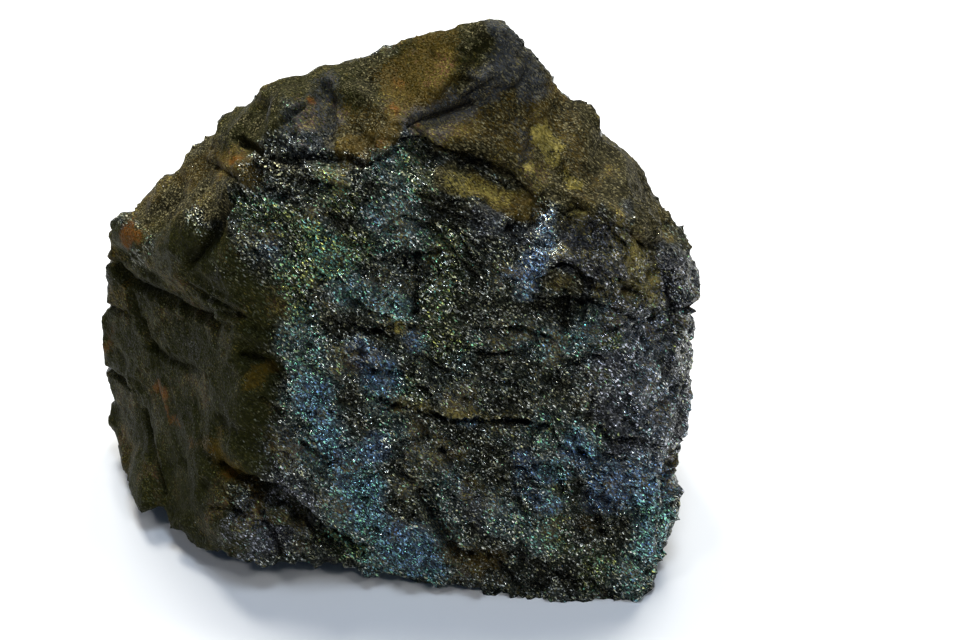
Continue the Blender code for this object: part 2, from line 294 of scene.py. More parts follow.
@dataclass(frozen=True)
class Patch:
    """A spot or a streak that a coat covers, by its points on an elevation and its radius, in millimetres."""

    points: tuple[Spot, ...]
    radius: float
    strength: float = 1.0


@dataclass(frozen=True)
class Crack:
    """A sharp crack or ledge line, by its points on an elevation, in millimetres.

    name only says which one it is. depth sinks a narrow groove, and step sinks the ground on the
    right-hand side of the line, as seen from outside, out to the reach.
    """

    name: str
    points: tuple[Spot, ...]
    depth: float
    width: float
    step: float
    reach: float


@dataclass(frozen=True)
class View:
    """The camera: its place in metres, its lens and film in millimetres, and its frame in pixels.

    pick_step is the grid that picks are put on, in millimetres.
    """

    target: Point = (0.0124, -0.0072, 0.0320)
    distance: float = 0.310
    lens: float = 85.0
    film: float = 36.0
    width: int = 960
    height: int = 640
    pick_step: float = 0.5

    def place(self, pixel: Spot) -> Spot:
        """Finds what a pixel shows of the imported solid. Past its outline, the target's depth is taken.

        Args:
            pixel: The pixel's column and row.

        Returns:
            The place on the high front's drawing in millimetres, to the nearest pick step.
        """
        right, up, back = (Vector(way) for way in Elevation.HIGH_FRONT.value)
        column, row = pixel
        focal = self.lens / self.film * self.width
        ray = right * ((column - self.width / 2) / focal) + up * ((self.height / 2 - row) / focal) - back
        eye = Vector(self.target) + back * self.distance
        hit = SOLID.ray_cast(eye, ray.normalized())[0]
        if hit is None:
            hit = eye + ray * self.distance
        x, y = (round(hit.dot(way) / MM / self.pick_step) * self.pick_step for way in (right, up))
        return x, y


def ray_tree(mesh: bpy.types.Mesh) -> BVHTree:
    """Makes a tree of a mesh's faces, at which rays can be cast."""
    faces = [tuple(face.vertices) for face in mesh.polygons]
    return BVHTree.FromPolygons([point.co for point in mesh.vertices], faces)


SOLID = ray_tree(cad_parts[NODE].data)
VIEW = View()


def on_front(mark: Mark) -> Mark:
    """Moves a patch or a crack from the camera's frame, where it was picked, onto the high front."""
    return replace(mark, points=tuple(VIEW.place(pixel) for pixel in mark.points))


# Picked on the camera's frame: each point is the column and the row of a pixel.
PICKED_PATCHES: dict[Coat, tuple[Patch, ...]] = {
    Coat.GOLD: (
        Patch(((245, 208), (275, 215), (306, 230)), 2, 0.6),
        Patch(((306, 230), (312, 262), (287, 285)), 2.2, 0.75),
        Patch(((287, 285), (300, 312)), 2, 0.55),
        Patch(((330, 180), (350, 205)), 2.2, 0.6),
        Patch(((330, 255), (352, 250)), 2.4, 0.7),
        Patch(((445, 235), (450, 280), (440, 345)), 2.6, 0.45),
        Patch(((412, 160), (425, 185)), 2, 0.5),
        Patch(((410, 388),), 1.6, 0.5),
        Patch(((550, 470), (560, 550)), 2, 0.4),
        Patch(((600, 560), (590, 585)), 2, 0.6),
        Patch(((610, 345),), 1.5, 0.5),
        Patch(((330, 535), (350, 545)), 1.6, 0.6),
    ),
    Coat.TEAL: (
        Patch(((244, 200), (282, 200)), 1.6, 0.3),
        Patch(((318, 240), (344, 285)), 2.2, 0.6),
        Patch(((350, 290), (404, 314)), 1.7),
        Patch(((388, 140), (400, 190), (385, 235)), 2.6, 0.5),
        Patch(((412, 210), (420, 250)), 1.8, 0.4),
        Patch(((303, 330), (310, 400), (325, 455)), 3, 0.7),
        Patch(((350, 470), (355, 520), (375, 555), (425, 560)), 3.4, 0.75),
        Patch(((380, 385), (390, 430)), 2.4, 0.6),
        Patch(((445, 480), (450, 560)), 2.2, 0.45),
        Patch(((595, 310), (580, 350), (530, 340)), 2, 0.5),
        Patch(((540, 430), (600, 440)), 2, 0.5),
        Patch(((650, 500), (655, 550), (640, 580)), 3.4, 0.8),
        Patch(((500, 520), (540, 540)), 2.2, 0.5),
        Patch(((475, 345), (460, 370)), 1.6, 0.4),
    ),
    Coat.BLUE: (
        Patch(((545, 225), (543, 250)), 1.4, 0.8),
        Patch(((543, 250), (524, 292)), 1.3),
        Patch(((510, 277),), 0.9, 0.9),
        Patch(((362, 355), (380, 378)), 2, 0.7),
        Patch(((315, 395), (325, 430), (345, 465)), 2, 0.75),
        Patch(((412, 346),), 1.2, 0.8),
        Patch(((375, 455),), 2, 0.9),
        Patch(((360, 490), (372, 520)), 2, 0.9),
        Patch(((395, 540), (425, 555)), 2.6, 0.9),
        Patch(((470, 425),), 0.9, 0.9),
        Patch(((530, 465), (552, 470)), 1.8, 0.9),
        Patch(((582, 450), (600, 470), (602, 490), (640, 490)), 2.6),
        Patch(((530, 500), (552, 505)), 1.6, 0.9),
        Patch(((262, 255), (288, 258)), 1.4, 0.35),
        Patch(((372, 215),), 1.6, 0.35),
        Patch(((650, 470), (655, 540)), 3, 0.6),
        Patch(((645, 340), (650, 420)), 3.6, 0.2),
    ),
    Coat.SHEEN: (
        Patch(((640, 320), (625, 360), (640, 430)), 5.5, 0.8),
        Patch(((684, 290), (682, 400), (674, 480)), 3.2, 0.7),
        Patch(((585, 252), (620, 250), (668, 275)), 4, 0.9),
        Patch(((220, 538), (250, 530), (290, 508)), 3.8),
        Patch(((275, 440), (300, 515)), 3, 0.4),
        Patch(((485, 215), (560, 255)), 2.2, 0.5),
        Patch(((455, 500), (500, 525)), 2.5, 0.5),
    ),
    Coat.OCHRE: (
        Patch(((438, 52), (425, 85), (402, 78)), 3.4),
        Patch(((415, 100), (402, 115), (385, 140), (352, 154)), 1.6),
        Patch(((478, 186), (512, 200), (530, 207)), 1.7),
        Patch(((350, 118), (372, 130)), 2.4, 0.6),
        Patch(((475, 118), (530, 125)), 4.2, 0.7),
        Patch(((560, 95), (556, 125)), 2.4, 0.6),
        Patch(((572, 150), (585, 185)), 2.6, 0.55),
        Patch(((262, 368), (255, 382)), 1.3),
        Patch(((190, 176), (212, 160), (252, 170)), 2.2, 0.8),
        Patch(((150, 200),), 1.6, 0.6),
        Patch(((116, 290),), 1.2, 0.6),
        Patch(((212, 440), (235, 475), (252, 500)), 1.6, 0.8),
        Patch(((122, 465),), 1.4, 0.5),
        Patch(((490, 568), (452, 560)), 1.8),
        Patch(((472, 482),), 1.2, 0.6),
        Patch(((592, 525),), 1.4, 0.6),
    ),
    Coat.RUST: (
        Patch(((305, 100),), 0.7),
        Patch(((235, 158),), 0.9, 0.85),
        Patch(((128, 226), (130, 240)), 0.9, 0.8),
        Patch(((395, 112),), 0.6, 0.7),
        Patch(((398, 75), (402, 85)), 0.6, 0.4),
        Patch(((157, 384), (166, 398)), 0.4, 0.7),
        Patch(((168, 405), (178, 422)), 0.4, 0.7),
        Patch(((190, 440), (212, 446)), 0.7, 0.4),
        Patch(((385, 142),), 0.6, 0.5),
        Patch(((425, 126),), 0.6, 0.4),
        Patch(((230, 472),), 0.7, 0.5),
    ),
    Coat.BROWN: (
        Patch(((160, 200), (205, 155), (250, 110)), 4.6),
        Patch(((250, 110), (290, 80), (335, 88)), 2.6, 0.9),
        Patch(((335, 88), (405, 85), (470, 50)), 5),
        Patch(((345, 140), (385, 128)), 2.4),
        Patch(((470, 50), (520, 90), (560, 130), (600, 170)), 6),
        Patch(((600, 170), (645, 215), (672, 250)), 5, 0.36),
        Patch(((545, 85), (590, 115), (612, 150)), 3),
        Patch(((450, 118), (530, 150), (580, 185)), 4.2),
        Patch(((448, 174), (520, 202)), 1.8),
        Patch(((548, 286), (575, 288)), 1.2, 0.45),
        Patch(((398, 403), (512, 413)), 0.8, 0.35),
        Patch(((585, 255), (625, 262)), 1.6, 0.4),
        Patch(((430, 195), (475, 215)), 1.3, 0.4),
    ),
    Coat.OLIVE: (
        Patch(((118, 250), (118, 340), (118, 430), (150, 495), (200, 535)), 4.2),
        Patch(((180, 270), (175, 380), (185, 480)), 6.5),
        Patch(((240, 300), (242, 380), (236, 455)), 4.6, 0.95),
        Patch(((265, 495), (300, 515)), 2.4, 0.5),
        Patch(((215, 520), (232, 545)), 2.4, 0.6),
        Patch(((215, 245), (245, 290)), 2.6, 0.75),
        Patch(((240, 130), (300, 92), (400, 68), (465, 40)), 4.5, 0.55),
    ),
    Coat.VIOLET: (
        Patch(((505, 28), (520, 60), (532, 88)), 2.6, 0.9),
        Patch(((505, 60), (492, 92), (440, 114), (415, 126)), 2.3, 0.9),
        Patch(((325, 96), (318, 142)), 2.6, 0.65),
        Patch(((290, 112), (298, 138)), 2.2, 0.55),
        Patch(((523, 120), (530, 160)), 1.3, 0.6),
        Patch(((330, 78),), 1.5, 0.5),
    ),
    Coat.PALE: (
        Patch(((543, 134), (556, 150)), 1.1),
        Patch(((558, 160),), 0.8, 0.7),
        Patch(((568, 174),), 1, 0.9),
        Patch(((535, 170),), 0.8, 0.6),
        Patch(((398, 403), (512, 413)), 0.8, 0.35),
        Patch(((640, 262),), 1.2, 0.6),
        Patch(((452, 178), (485, 188), (505, 196)), 1.6, 0.5),
        Patch(((600, 292),), 1, 0.6),
        Patch(((385, 330), (405, 335)), 0.9, 0.6),
    ),
}

# Drawn in millimetres on the high front.
DRAWN_PATCHES: dict[Coat, tuple[Patch, ...]] = {
    Coat.SHEEN: (Patch(((28, 26), (31, 25)), 2.4, 0.5),),
    Coat.PALE: (Patch(((24.5, 34), (30, 31.5), (35.5, 28)), 3.4, 0.5),),
}

PATCHES: dict[Elevation, dict[Coat, tuple[Patch, ...]]] = {
    Elevation.HIGH_FRONT: {
        coat: (*map(on_front, patches), *DRAWN_PATCHES.get(coat, ()))
        for coat, patches in PICKED_PATCHES.items()
    },
    Elevation.BACK: {
        Coat.GOLD: (Patch(((-12, 44), (-18, 38)), 5, 0.8),),
        Coat.TEAL: (Patch(((20, 34), (26, 24)), 7, 0.8), Patch(((-2, 12), (8, 18)), 5, 0.7)),
        Coat.BLUE: (Patch(((-8, 26), (-12, 14)), 5, 0.8), Patch(((30, 16),), 4, 0.7)),
        Coat.SHEEN: (Patch(((-28, 34), (-24, 20)), 8, 0.8),),
        Coat.OCHRE: (
            Patch(((8, 50), (14, 47)), 4, 0.8),
            Patch(((-30, 44),), 4, 0.7),
            Patch(((2, 6),), 3, 0.6),
        ),
        Coat.RUST: (Patch(((2, 30), (3, 27)), 1.2, 0.8), Patch(((24, 45),), 1.5, 0.8)),
        Coat.BROWN: (Patch(((-39, 44), (-27, 57), (-14, 63), (10, 64), (33, 47)), 8),),
        Coat.OLIVE: (Patch(((34, 36), (36, 10)), 6, 0.8),),
    },
    Elevation.RIGHT: {
        Coat.TEAL: (Patch(((4, 22), (8, 10)), 5, 0.8),),
        Coat.BLUE: (Patch(((-10, 16),), 4, 0.8),),
        Coat.SHEEN: (Patch(((0, 32), (10, 28)), 7, 0.8),),
        Coat.OCHRE: (Patch(((16, 34), (20, 22)), 3, 0.8),),
        Coat.BROWN: (Patch(((-14, 50), (20, 46)), 6, 0.7),),
    },
    Elevation.LEFT: {
        Coat.SHEEN: (Patch(((-12, 16),), 5, 0.6),),
        Coat.OCHRE: (Patch(((-8, 36), (-14, 28)), 3, 0.7),),
        Coat.RUST: (Patch(((-6, 22), (-7, 18)), 0.8, 0.4),),
        Coat.BROWN: (Patch(((6, 50), (-20, 46)), 6),),
        Coat.OLIVE: (Patch(((16, 26), (14, 6), (2, 8), (4, 30)), 9), Patch(((-16, 32), (-18, 10)), 8, 0.9)),
    },
}


# Picked on the camera's frame, as the patches.
PICKED_CRACKS: tuple[Crack, ...] = (
    Crack("below the brow", ((420, 191), (478, 216)), 0.45, 0.4, 0.4, 1.8),
    Crack("below the brow, second", ((425, 204), (482, 224)), 0.4, 0.35, 0.35, 1.6),
    Crack("below the brow, third", ((432, 222), (476, 276)), 0.45, 0.35, 0.4, 1.6),
    Crack("below the brow, fourth", ((455, 228), (495, 262)), 0.45, 0.35, 0.35, 1.6),
    Crack("apex band, upper edge", ((440, 97), (455, 80), (470, 77), (477, 83)), 0.4, 0.4, 0.3, 1.5),
    Crack("apex band, middle edge", ((462, 99), (494, 80)), 0.5, 0.4, 0.3, 1.5),
    Crack("apex band, lower edge", ((412, 119), (430, 118), (468, 100)), 0.8, 0.5, 0.5, 2.5),
    Crack("apex facet, left edge", ((462, 74), (492, 33)), 0.3, 0.5, 0.3, 3),
    Crack(
        "apex facet, right edge",
        ((520, 55), (526, 63), (521, 80), (511, 88), (500, 87)),
        0.3, 0.5, -0.3, 3,
    ),
    Crack("apex nick", ((462, 52), (470, 56), (477, 50)), 0.5, 0.5, 0, 2),
    Crack("shoulder notch", ((566, 211), (578, 206), (618, 243), (632, 249)), 0.8, 0.6, 0.6, 2.5),
    Crack("shoulder rim", ((600, 214), (655, 251), (664, 264), (671, 282), (677, 322)), 1.5, 0.75, 1.2, 4),
    Crack("shoulder rim, outer", ((622, 224), (660, 247)), 0.7, 0.5, 0.4, 2),
    Crack("middle ledge notch", ((553, 268), (566, 262), (592, 280)), 1, 0.6, 1, 2.5),
    Crack("tan ledge, top", ((540, 281), (558, 279), (575, 283), (585, 292)), 0.4, 0.4, -0.3, 2),
    Crack("tan ledge, foot", ((538, 298), (556, 301), (588, 297)), 0.8, 0.5, 1.3, 3),
    Crack("right ledge crack", ((598, 271), (634, 291)), 0.9, 0.5, 1, 2.5),
    Crack("right ledge foot", ((590, 302), (610, 303), (645, 318)), 0.7, 0.5, 1, 3),
    Crack("pillar crack left", ((563, 301), (564, 330)), 0.8, 0.5, 0, 2),
    Crack("pillar crack right", ((584, 292), (584, 320)), 0.8, 0.5, 0, 2),
    Crack("upright crack", ((420, 254), (417, 312)), 0.75, 0.4, 0.25, 2),
    Crack("upright crack head", ((405, 259), (438, 251)), 0.6, 0.5, 0.4, 2),
    Crack("centre ledge", ((498, 330), (520, 326), (570, 341)), 0.35, 0.4, 0.35, 2.5),
    Crack("centre ledge, second", ((440, 352), (462, 346), (486, 353), (510, 352)), 0.3, 0.4, 0.3, 2),
    Crack("mid-left ledge", ((352, 323), (370, 331), (398, 325), (422, 331)), 0.6, 0.5, 0.6, 3),
    Crack("mid-left ledge, lower", ((356, 364), (378, 372), (402, 372)), 0.5, 0.5, 0.5, 2.5),
    Crack("long ledge", ((384, 398), (400, 409), (440, 418), (528, 420)), 1, 0.55, 0.8, 3.5),
    Crack("long ledge, right", ((528, 420), (550, 425), (570, 436)), 0.5, 0.5, 0.4, 2.5),
    Crack("lower ravine", ((424, 494), (451, 546), (460, 554)), 1.5, 1, 0.3, 3),
    Crack("lower ravine, foot", ((460, 554), (490, 558), (502, 566)), 0.8, 0.7, 0.6, 2.5),
    Crack("foot crack", ((508, 572), (524, 592)), 0.6, 0.5, 0.3, 2),
    Crack("low crack", ((523, 538), (526, 562)), 0.7, 0.5, 0.3, 2),
    Crack("low right crack", ((587, 495), (601, 519)), 0.9, 0.5, 0.4, 2.5),
    Crack("low right ledge", ((600, 430), (613, 440), (638, 441), (656, 447)), 0.8, 0.55, 0.6, 3),
    Crack("low right dent", ((560, 468), (562, 492)), 0.7, 0.6, 0.3, 2),
    Crack("low middle crack", ((514, 478), (521, 506), (528, 516)), 0.6, 0.5, 0.3, 2),
    Crack("low edge crack", ((635, 498), (638, 522)), 0.6, 0.5, 0.3, 2),
    Crack("right strip edge", ((662, 468), (655, 520), (655, 545)), 0.5, 0.6, -0.6, 3),
    Crack("low right streak", ((578, 449), (590, 462), (603, 486)), 0.5, 0.5, 0.3, 2),
    Crack("left valley, top", ((222, 462), (232, 470), (290, 492), (320, 518)), 0.9, 0.7, 1, 3.5),
    Crack("left valley, floor", ((256, 490), (296, 511), (338, 546)), 1.2, 1.1, 0.3, 3),
    Crack("knob, right side", ((262, 512), (277, 537), (281, 552)), 0.7, 0.5, 0.3, 2.5),
    Crack("knob, top", ((208, 506), (240, 508), (252, 503), (262, 512)), 0.5, 0.5, 0.3, 2.5),
    Crack("valley step", ((328, 524), (362, 546)), 0.7, 0.5, 0.5, 2),
    Crack("left crack", ((303, 444), (326, 461)), 0.9, 0.6, 0.5, 2.5),
    Crack("gold hollow", ((243, 352), (266, 362), (285, 382)), 0.6, 0.5, 0.3, 2),
    Crack("gold hollow, lower", ((260, 397), (283, 413)), 0.7, 0.5, 0.5, 2),
    Crack("small left nick", ((222, 312), (232, 317), (242, 314)), 0.6, 0.5, 0.3, 2),
    Crack("small left nick, second", ((254, 328), (264, 331), (274, 327)), 0.5, 0.5, 0.3, 2),
    Crack("left face fold", ((116, 268), (130, 279), (170, 297), (187, 309), (205, 314)), 1.3, 1.2, 1, 4),
    Crack("left face fold, upper", ((183, 281), (196, 291), (240, 313)), 0.7, 0.6, 0.5, 2.5),
    Crack("left face ridge foot", ((128, 296), (150, 347)), 0.5, 0.6, -0.4, 2.5),
    Crack("left face, low fold", ((150, 345), (170, 360), (192, 366)), 0.5, 0.8, 0.4, 3),
    Crack("left rim", ((145, 410), (163, 492)), 0.6, 0.7, 0.4, 2.5),
    Crack("shoulder lump edge", ((229, 203), (214, 238), (188, 262)), 1.1, 0.8, -0.5, 3),
    Crack("scoop, right edge", ((326, 84), (335, 100), (331, 140), (322, 152)), 0.4, 0.6, 0.4, 3),
    Crack("scoop, lower edge", ((240, 141), (276, 157), (300, 154), (338, 160)), 0.8, 0.6, 0.6, 3),
    Crack("scoop, inner line", ((281, 121), (302, 107)), 0.5, 0.5, 0.3, 2),
    Crack("upper left nick", ((215, 162), (238, 180)), 0.6, 0.6, 0.4, 2.5),
    Crack("gold edge", ((350, 160), (364, 165), (396, 150)), 0.7, 0.5, 0.5, 2.5),
    Crack("upper middle nick", ((300, 180), (318, 186), (336, 183), (352, 190)), 0.5, 0.5, 0.3, 2),
    Crack("brown facet fold", ((530, 100), (534, 124), (528, 164)), 0.4, 0.6, 0.3, 3),
)

# Drawn in millimetres on the high front.
BROW_CRACKS: tuple[Crack, ...] = (
    Crack(
        "brow",
        ((2.5, 46.5), (5, 46.5), (8, 45), (13, 43.5), (16.5, 42), (19.5, 39)),
        0.7, 0.42, 0.45, 2.2,
    ),
    Crack("brow, second line", ((6, 45), (9, 43.5), (12.5, 42.5), (16, 40.5)), 0.4, 0.35, 0.3, 1.2),
)

CRACKS: dict[Elevation, tuple[Crack, ...]] = {
    Elevation.HIGH_FRONT: (*BROW_CRACKS, *map(on_front, PICKED_CRACKS)),
    Elevation.BACK: (
        Crack("upper ledge", ((-31, 42), (-19, 40), (-5, 40), (7, 44)), 0.9, 0.7, -1.0, 4),
        Crack("lower ledge", ((-33, 14), (-21, 17), (-9, 15)), 0.9, 0.7, -0.9, 4),
        Crack("long crack", ((11, 40), (15, 30), (14, 18), (19, 9)), 1.2, 0.8, 0.6, 4),
        Crack("slope ledge", ((-24, 56), (-14, 57), (-2, 55), (8, 57)), 0.8, 0.7, 0.8, 4),
        Crack("short crack", ((-14, 33), (-12, 27), (-15, 22)), 0.8, 0.6, 0.3, 3),
        Crack("corner ledge", ((22, 30), (30, 27), (36, 29)), 0.7, 0.6, 0.6, 3),
        Crack("foot crack", ((-4, 12), (0, 7), (-2, 2)), 0.8, 0.6, 0.3, 3),
    ),
    Elevation.RIGHT: (
        Crack("upper ledge", ((-12, 36), (-2, 34), (5, 33), (13, 31)), 0.9, 0.7, 0.9, 4),
        Crack("lower ledge", ((-16, 17), (-8, 14), (2, 13), (12, 12)), 0.9, 0.7, 0.8, 4),
        Crack("crack", ((0, 30), (3, 22), (2, 15)), 0.9, 0.6, 0.3, 3),
        Crack("back crack", ((15, 25), (13, 18), (16, 9)), 0.8, 0.6, 0.4, 3),
    ),
    Elevation.LEFT: (
        Crack("back crack", ((-12, 38), (-14, 28), (-15, 18)), 0.9, 0.7, 0.4, 3),
        Crack("low ledge", ((-2, 15), (-14, 13), (-21, 14)), 0.8, 0.7, -0.7, 4),
        Crack("middle fold", ((-4, 26), (-10, 24), (-18, 27)), 0.6, 0.7, -0.6, 3),
    ),
}


# ---- Finishes ----

HACKLE_WAY = Vector((0.75, -0.30, -0.60)).normalized()
# The mask of painted shade in cracks and hollows; it also thins the loose grains there.
HOLLOW_SHADE_MASK = "hollow"
CREST_HIGHLIGHT_MASK = "crest"
# The mask of painted highlight on convex crests, where more grains are painted as glints.
OUTWARD = "outward"


class Cells(NamedTuple):
    """What every grain, or every clot of grains, draws for itself: a lean and three chances from 0 to 1."""

    lean: Socket
    shine: Term
    tone: Term
    cover: Term


@dataclass(frozen=True)
class Readings:
    """What the ore's material reads at each place. The cloud is smooth noise around 0.5."""

    graph: NodeGraph
    place: Socket
    grains: Cells
    clots: Cells
    cloud: Term
    masks: dict[str, Term]


@dataclass(frozen=True)
class Breakup:
    """How clouds and each grain's own chance break up a soft mask, and where its edge then lies."""

    clouds: Value
    grains: float
    edge: float
    width: float
    weight: float = 1.0
    middle: float = 0.5

    def of(self, mask: Term, cloud: Term, chance: Value = 0.5) -> Term:
        """Breaks up a mask.

        Args:
            mask: The soft mask.
            cloud: Smooth noise around 0.5.
            chance: Each grain's own chance, for a breakup that has grains.

        Returns:
            The mask with drifting and grainy edges, between 0 and 1.
        """
        broken = self.weight * mask + self.clouds * (cloud - 0.5)
        if self.grains:
            broken = broken + self.grains * (chance - self.middle)
        return broken.over(self.edge, self.width)


BREAKUPS: dict[Coat, Breakup] = {
    Coat.BROWN: Breakup(1.1, 0.15, 0.42, 0.30),
    Coat.OLIVE: Breakup(1.5, 0.50, 0.45, 0.50),
    Coat.RUST: Breakup(1.6, 0.50, 0.55, 0.60),
    Coat.VIOLET: Breakup(1.6, 0.50, 0.55, 0.60),
}
GLINT_BREAKUP = Breakup(1.4, 0.0, 0.50, 0.90)
SHEEN_BREAKUP = Breakup(1.5, 0.0, 0.30, 0.70)
FILM_BREAKUP = Breakup(1.8, 0.0, 0.35, 0.75)
SILVERED_GRAINS = Breakup(1.5, -1.2, 0.05, 0.20, weight=1.2, middle=0.0)
TARNISHED_GRAINS = Breakup(2.0, -1.6, 0.05, 0.20, weight=1.1, middle=0.0)


@dataclass(frozen=True)
class Skin:
    """A thick coat: its two colours, and how each grain's shine and the clouds mix them."""

    coat: Coat
    dark: Colour
    light: Colour
    power: float
    grains: float
    clouds: float
    middle: float


@dataclass(frozen=True)
class Stain:
    """A thin coat: its colour, and how much of the ore it hides at most."""

    coat: Coat
    colour: Colour
    share: float


@dataclass(frozen=True)
class Film:
    """A tarnish film: from what thickness on it shows, its colour between the grains and the colour of the
    painted glints on them.
    """

    thickness: float
    ground: Colour
    grain: Colour


@dataclass(frozen=True)
class OreFinish:
    """The look of the lump itself: granular metallic ore, tarnished and stained in places."""

    grain: float = 0.150 * MM
    clot: float = 0.9 * MM
    drawn_share: float = 0.55
    cloud_scale: float = 190.0
    haze: float = 0.16
    skin_cover: float = 0.95
    # How much the painted shade darkens the colour in cracks and hollows.
    hollow_shade: float = 0.65
    rare_power: float = 12.0
    tarnish_power: float = 5.8
    glint_gain: float = 1.35
    sheen_glint: float = 0.35
    tarnish_glint: float = 1.1
    # How many more painted glints the crests take.
    crest_glint: float = 0.4
    poor_glint: float = 0.26
    rich_glint: float = 0.74
    grain_tilt: float = 0.90
    fresh_tilt: float = 0.30
    clot_lean: float = 0.08
    fresh_lean: float = 0.12
    bump_scale: float = 3600.0
    bump_depth: float = 0.20 * MM
    dark: Colour = (0.0140, 0.0144, 0.0086)
    # The colours of painted glints: shining grains are painted bright in place of sparkle from the lamps.
    light: Colour = (0.97, 1.0, 0.90)
    warm: Colour = (0.90, 0.86, 0.50)
    skins: tuple[Skin, ...] = (
        Skin(Coat.BROWN, (0.0105, 0.0088, 0.0024), (0.262, 0.220, 0.096), 5.2, 0.82, 0.26, 0.37),
        Skin(Coat.OLIVE, (0.0074, 0.0077, 0.0006), (0.043, 0.0425, 0.0045), 2.0, 0.45, 0.35, 0.26),
    )
    stains: tuple[Stain, ...] = (
        Stain(Coat.OCHRE, (0.080, 0.047, 0.003), 0.75),
        Stain(Coat.VIOLET, (0.042, 0.048, 0.060), 0.75),
        Stain(Coat.RUST, (0.22, 0.070, 0.006), 0.62),
        Stain(Coat.PALE, (0.52, 0.42, 0.10), 0.55),
    )
    films: tuple[Film, ...] = (
        Film(0.00, (0.026, 0.031, 0.012), (0.96, 1.00, 0.30)),
        Film(0.20, (0.024, 0.036, 0.022), (0.44, 1.00, 0.50)),
        Film(0.42, (0.036, 0.053, 0.046), (0.40, 1.00, 0.80)),
        Film(0.66, (0.058, 0.078, 0.084), (0.52, 0.88, 1.00)),
        Film(0.92, (0.058, 0.072, 0.098), (0.32, 0.56, 1.00)),
    )
    sheen: Film = Film(0.0, (0.056, 0.057, 0.063), (0.86, 0.88, 1.0))

    def material(self) -> bpy.types.Material:
        """Builds the material.

        Returns:
            A material that reads Object coordinates and the coats' masks.
        """
        made = bpy.data.materials.new("granular_ore")
        made.use_nodes = True
        made.node_tree.nodes.clear()
        graph = NodeGraph(made.node_tree)
        ore = self._read(graph)
        coats = {layer.coat: self._coverage(layer.coat, ore) for layer in (*self.skins, *self.stains)}
        skin = (coats[Coat.BROWN] + coats[Coat.OLIVE]).capped()
        glint = self._glint(ore)
        colour = self._stained_colour(ore, coats, self._fresh_colour(ore, glint))
        rough = 0.11 + 0.28 * ore.grains.tone + 0.30 * skin
        sockets = {
            # Painted shade: the colour is darkened in cracks and hollows.
            "Base Color": graph.scaled(colour, 1.0 - self.hollow_shade * ore.masks[HOLLOW_SHADE_MASK]),
            "Metallic": (0.70 + 0.30 * glint) * (1.0 - 0.88 * skin),
            "Roughness": rough.capped(),
            "Normal": self._normal(ore, skin),
            "Specular IOR Level": 0.05,
        }
        shader = graph.add("ShaderNodeBsdfPrincipled", {}, sockets)
        graph.add("ShaderNodeOutputMaterial", {}, {"Surface": shader.outputs[0]})
        return made

    def _read(self, graph: NodeGraph) -> Readings:
        """Adds the nodes that the rest of the material reads.

        Args:
            graph: The material's graph.

        Returns:
            What they give. The grains are drawn out along the hackle.
        """
        place = graph.add("ShaderNodeTexCoord", {}, {}).outputs["Object"]
        way = tuple(HACKLE_WAY)
        along = graph.term("ShaderNodeVectorMath", {"operation": "DOT_PRODUCT"}, {0: place, 1: way}, "Value")
        drawn = graph.vector("SUBTRACT", place, graph.scaled(way, along * self.drawn_share))
        clouds = {"Vector": place, "Scale": self.cloud_scale, "Detail": 5.0}
        names = (*(coat.value for coat in Coat), HOLLOW_SHADE_MASK, CREST_HIGHLIGHT_MASK)
        return Readings(
            graph,
            place,
            self._cells(graph, drawn, self.grain),
            self._cells(graph, place, self.clot),
            graph.term("ShaderNodeTexNoise", {}, clouds),
            {name: graph.term("ShaderNodeAttribute", {"attribute_name": name}, {}, "Fac") for name in names},
        )

    @staticmethod
    def _cells(graph: NodeGraph, place: Value, size: float) -> Cells:
        """Gives each grain a random colour, and takes that colour's three channels as its chances.

        Args:
            graph: The material's graph.
            place: The coordinates.
            size: How large a grain is, in metres.

        Returns:
            What the grain at each place draws.
        """
        cells = graph.add("ShaderNodeTexVoronoi", {}, {"Vector": place, "Scale": 1.0 / size})
        parts = graph.add("ShaderNodeSeparateColor", {}, {0: cells.outputs["Color"]})
        return Cells(cells.outputs["Color"], *(Term(graph, parts.outputs[index]) for index in range(3)))

    @staticmethod
    def _coverage(coat: Coat, ore: Readings) -> Term:
        """Where a coat lies. A dust also drifts thinly over all but the olive skin.

        Args:
            coat: The coat.
            ore: What the material reads.

        Returns:
            How fully the coat covers each place, from 0 to 1.
        """
        own = BREAKUPS.get(coat)
        if own is None:
            drift = 2.4 - 1.6 * ore.masks[Coat.OLIVE.value]
            own = Breakup(drift, -0.9, 0.15, 0.50, weight=1.1, middle=0.0)
        return own.of(ore.masks[coat.value], ore.cloud, ore.grains.cover)

    def _glint(self, ore: Readings) -> Term:
        """How much each grain is painted as a glint: few are, in clusters, most of them on crests and in the
        tarnish.

        Args:
            ore: What the material reads.

        Returns:
            The painted glint of each grain, from 0 to 1.
        """
        masks = ore.masks
        films = masks[Coat.TEAL.value] + masks[Coat.BLUE.value] + masks[Coat.GOLD.value]
        tarnish = GLINT_BREAKUP.of(films + self.sheen_glint * masks[Coat.SHEEN.value], ore.cloud)
        rich = self.poor_glint + self.rich_glint * ore.cloud.over(0.47, 0.20)
        # Painted highlight: more grains are painted as glints on the crests.
        share = (rich + self.tarnish_glint * tarnish + self.crest_glint * masks[CREST_HIGHLIGHT_MASK]).capped()
        power = self.rare_power - self.tarnish_power * tarnish
        cluster = 0.87 + 0.36 * ore.clots.shine
        return ((ore.grains.shine**power) * (self.glint_gain * cluster) * share).capped()

    def _filmed(self, masks: dict[str, Term]) -> tuple[Term, Term]:
        """How much tarnish there is, and how thick its film is: thin for gold, thickest for blue.

        Args:
            masks: The coats' masks.

        Returns:
            The tarnish in all, and the thickness from 0 to 1.
        """
        gold, teal, blue = (masks[coat.value] for coat in (Coat.GOLD, Coat.TEAL, Coat.BLUE))
        total = gold + teal + blue + self.haze
        return total, (0.5 * teal + 0.3 * self.haze + blue) * total ** -1.0

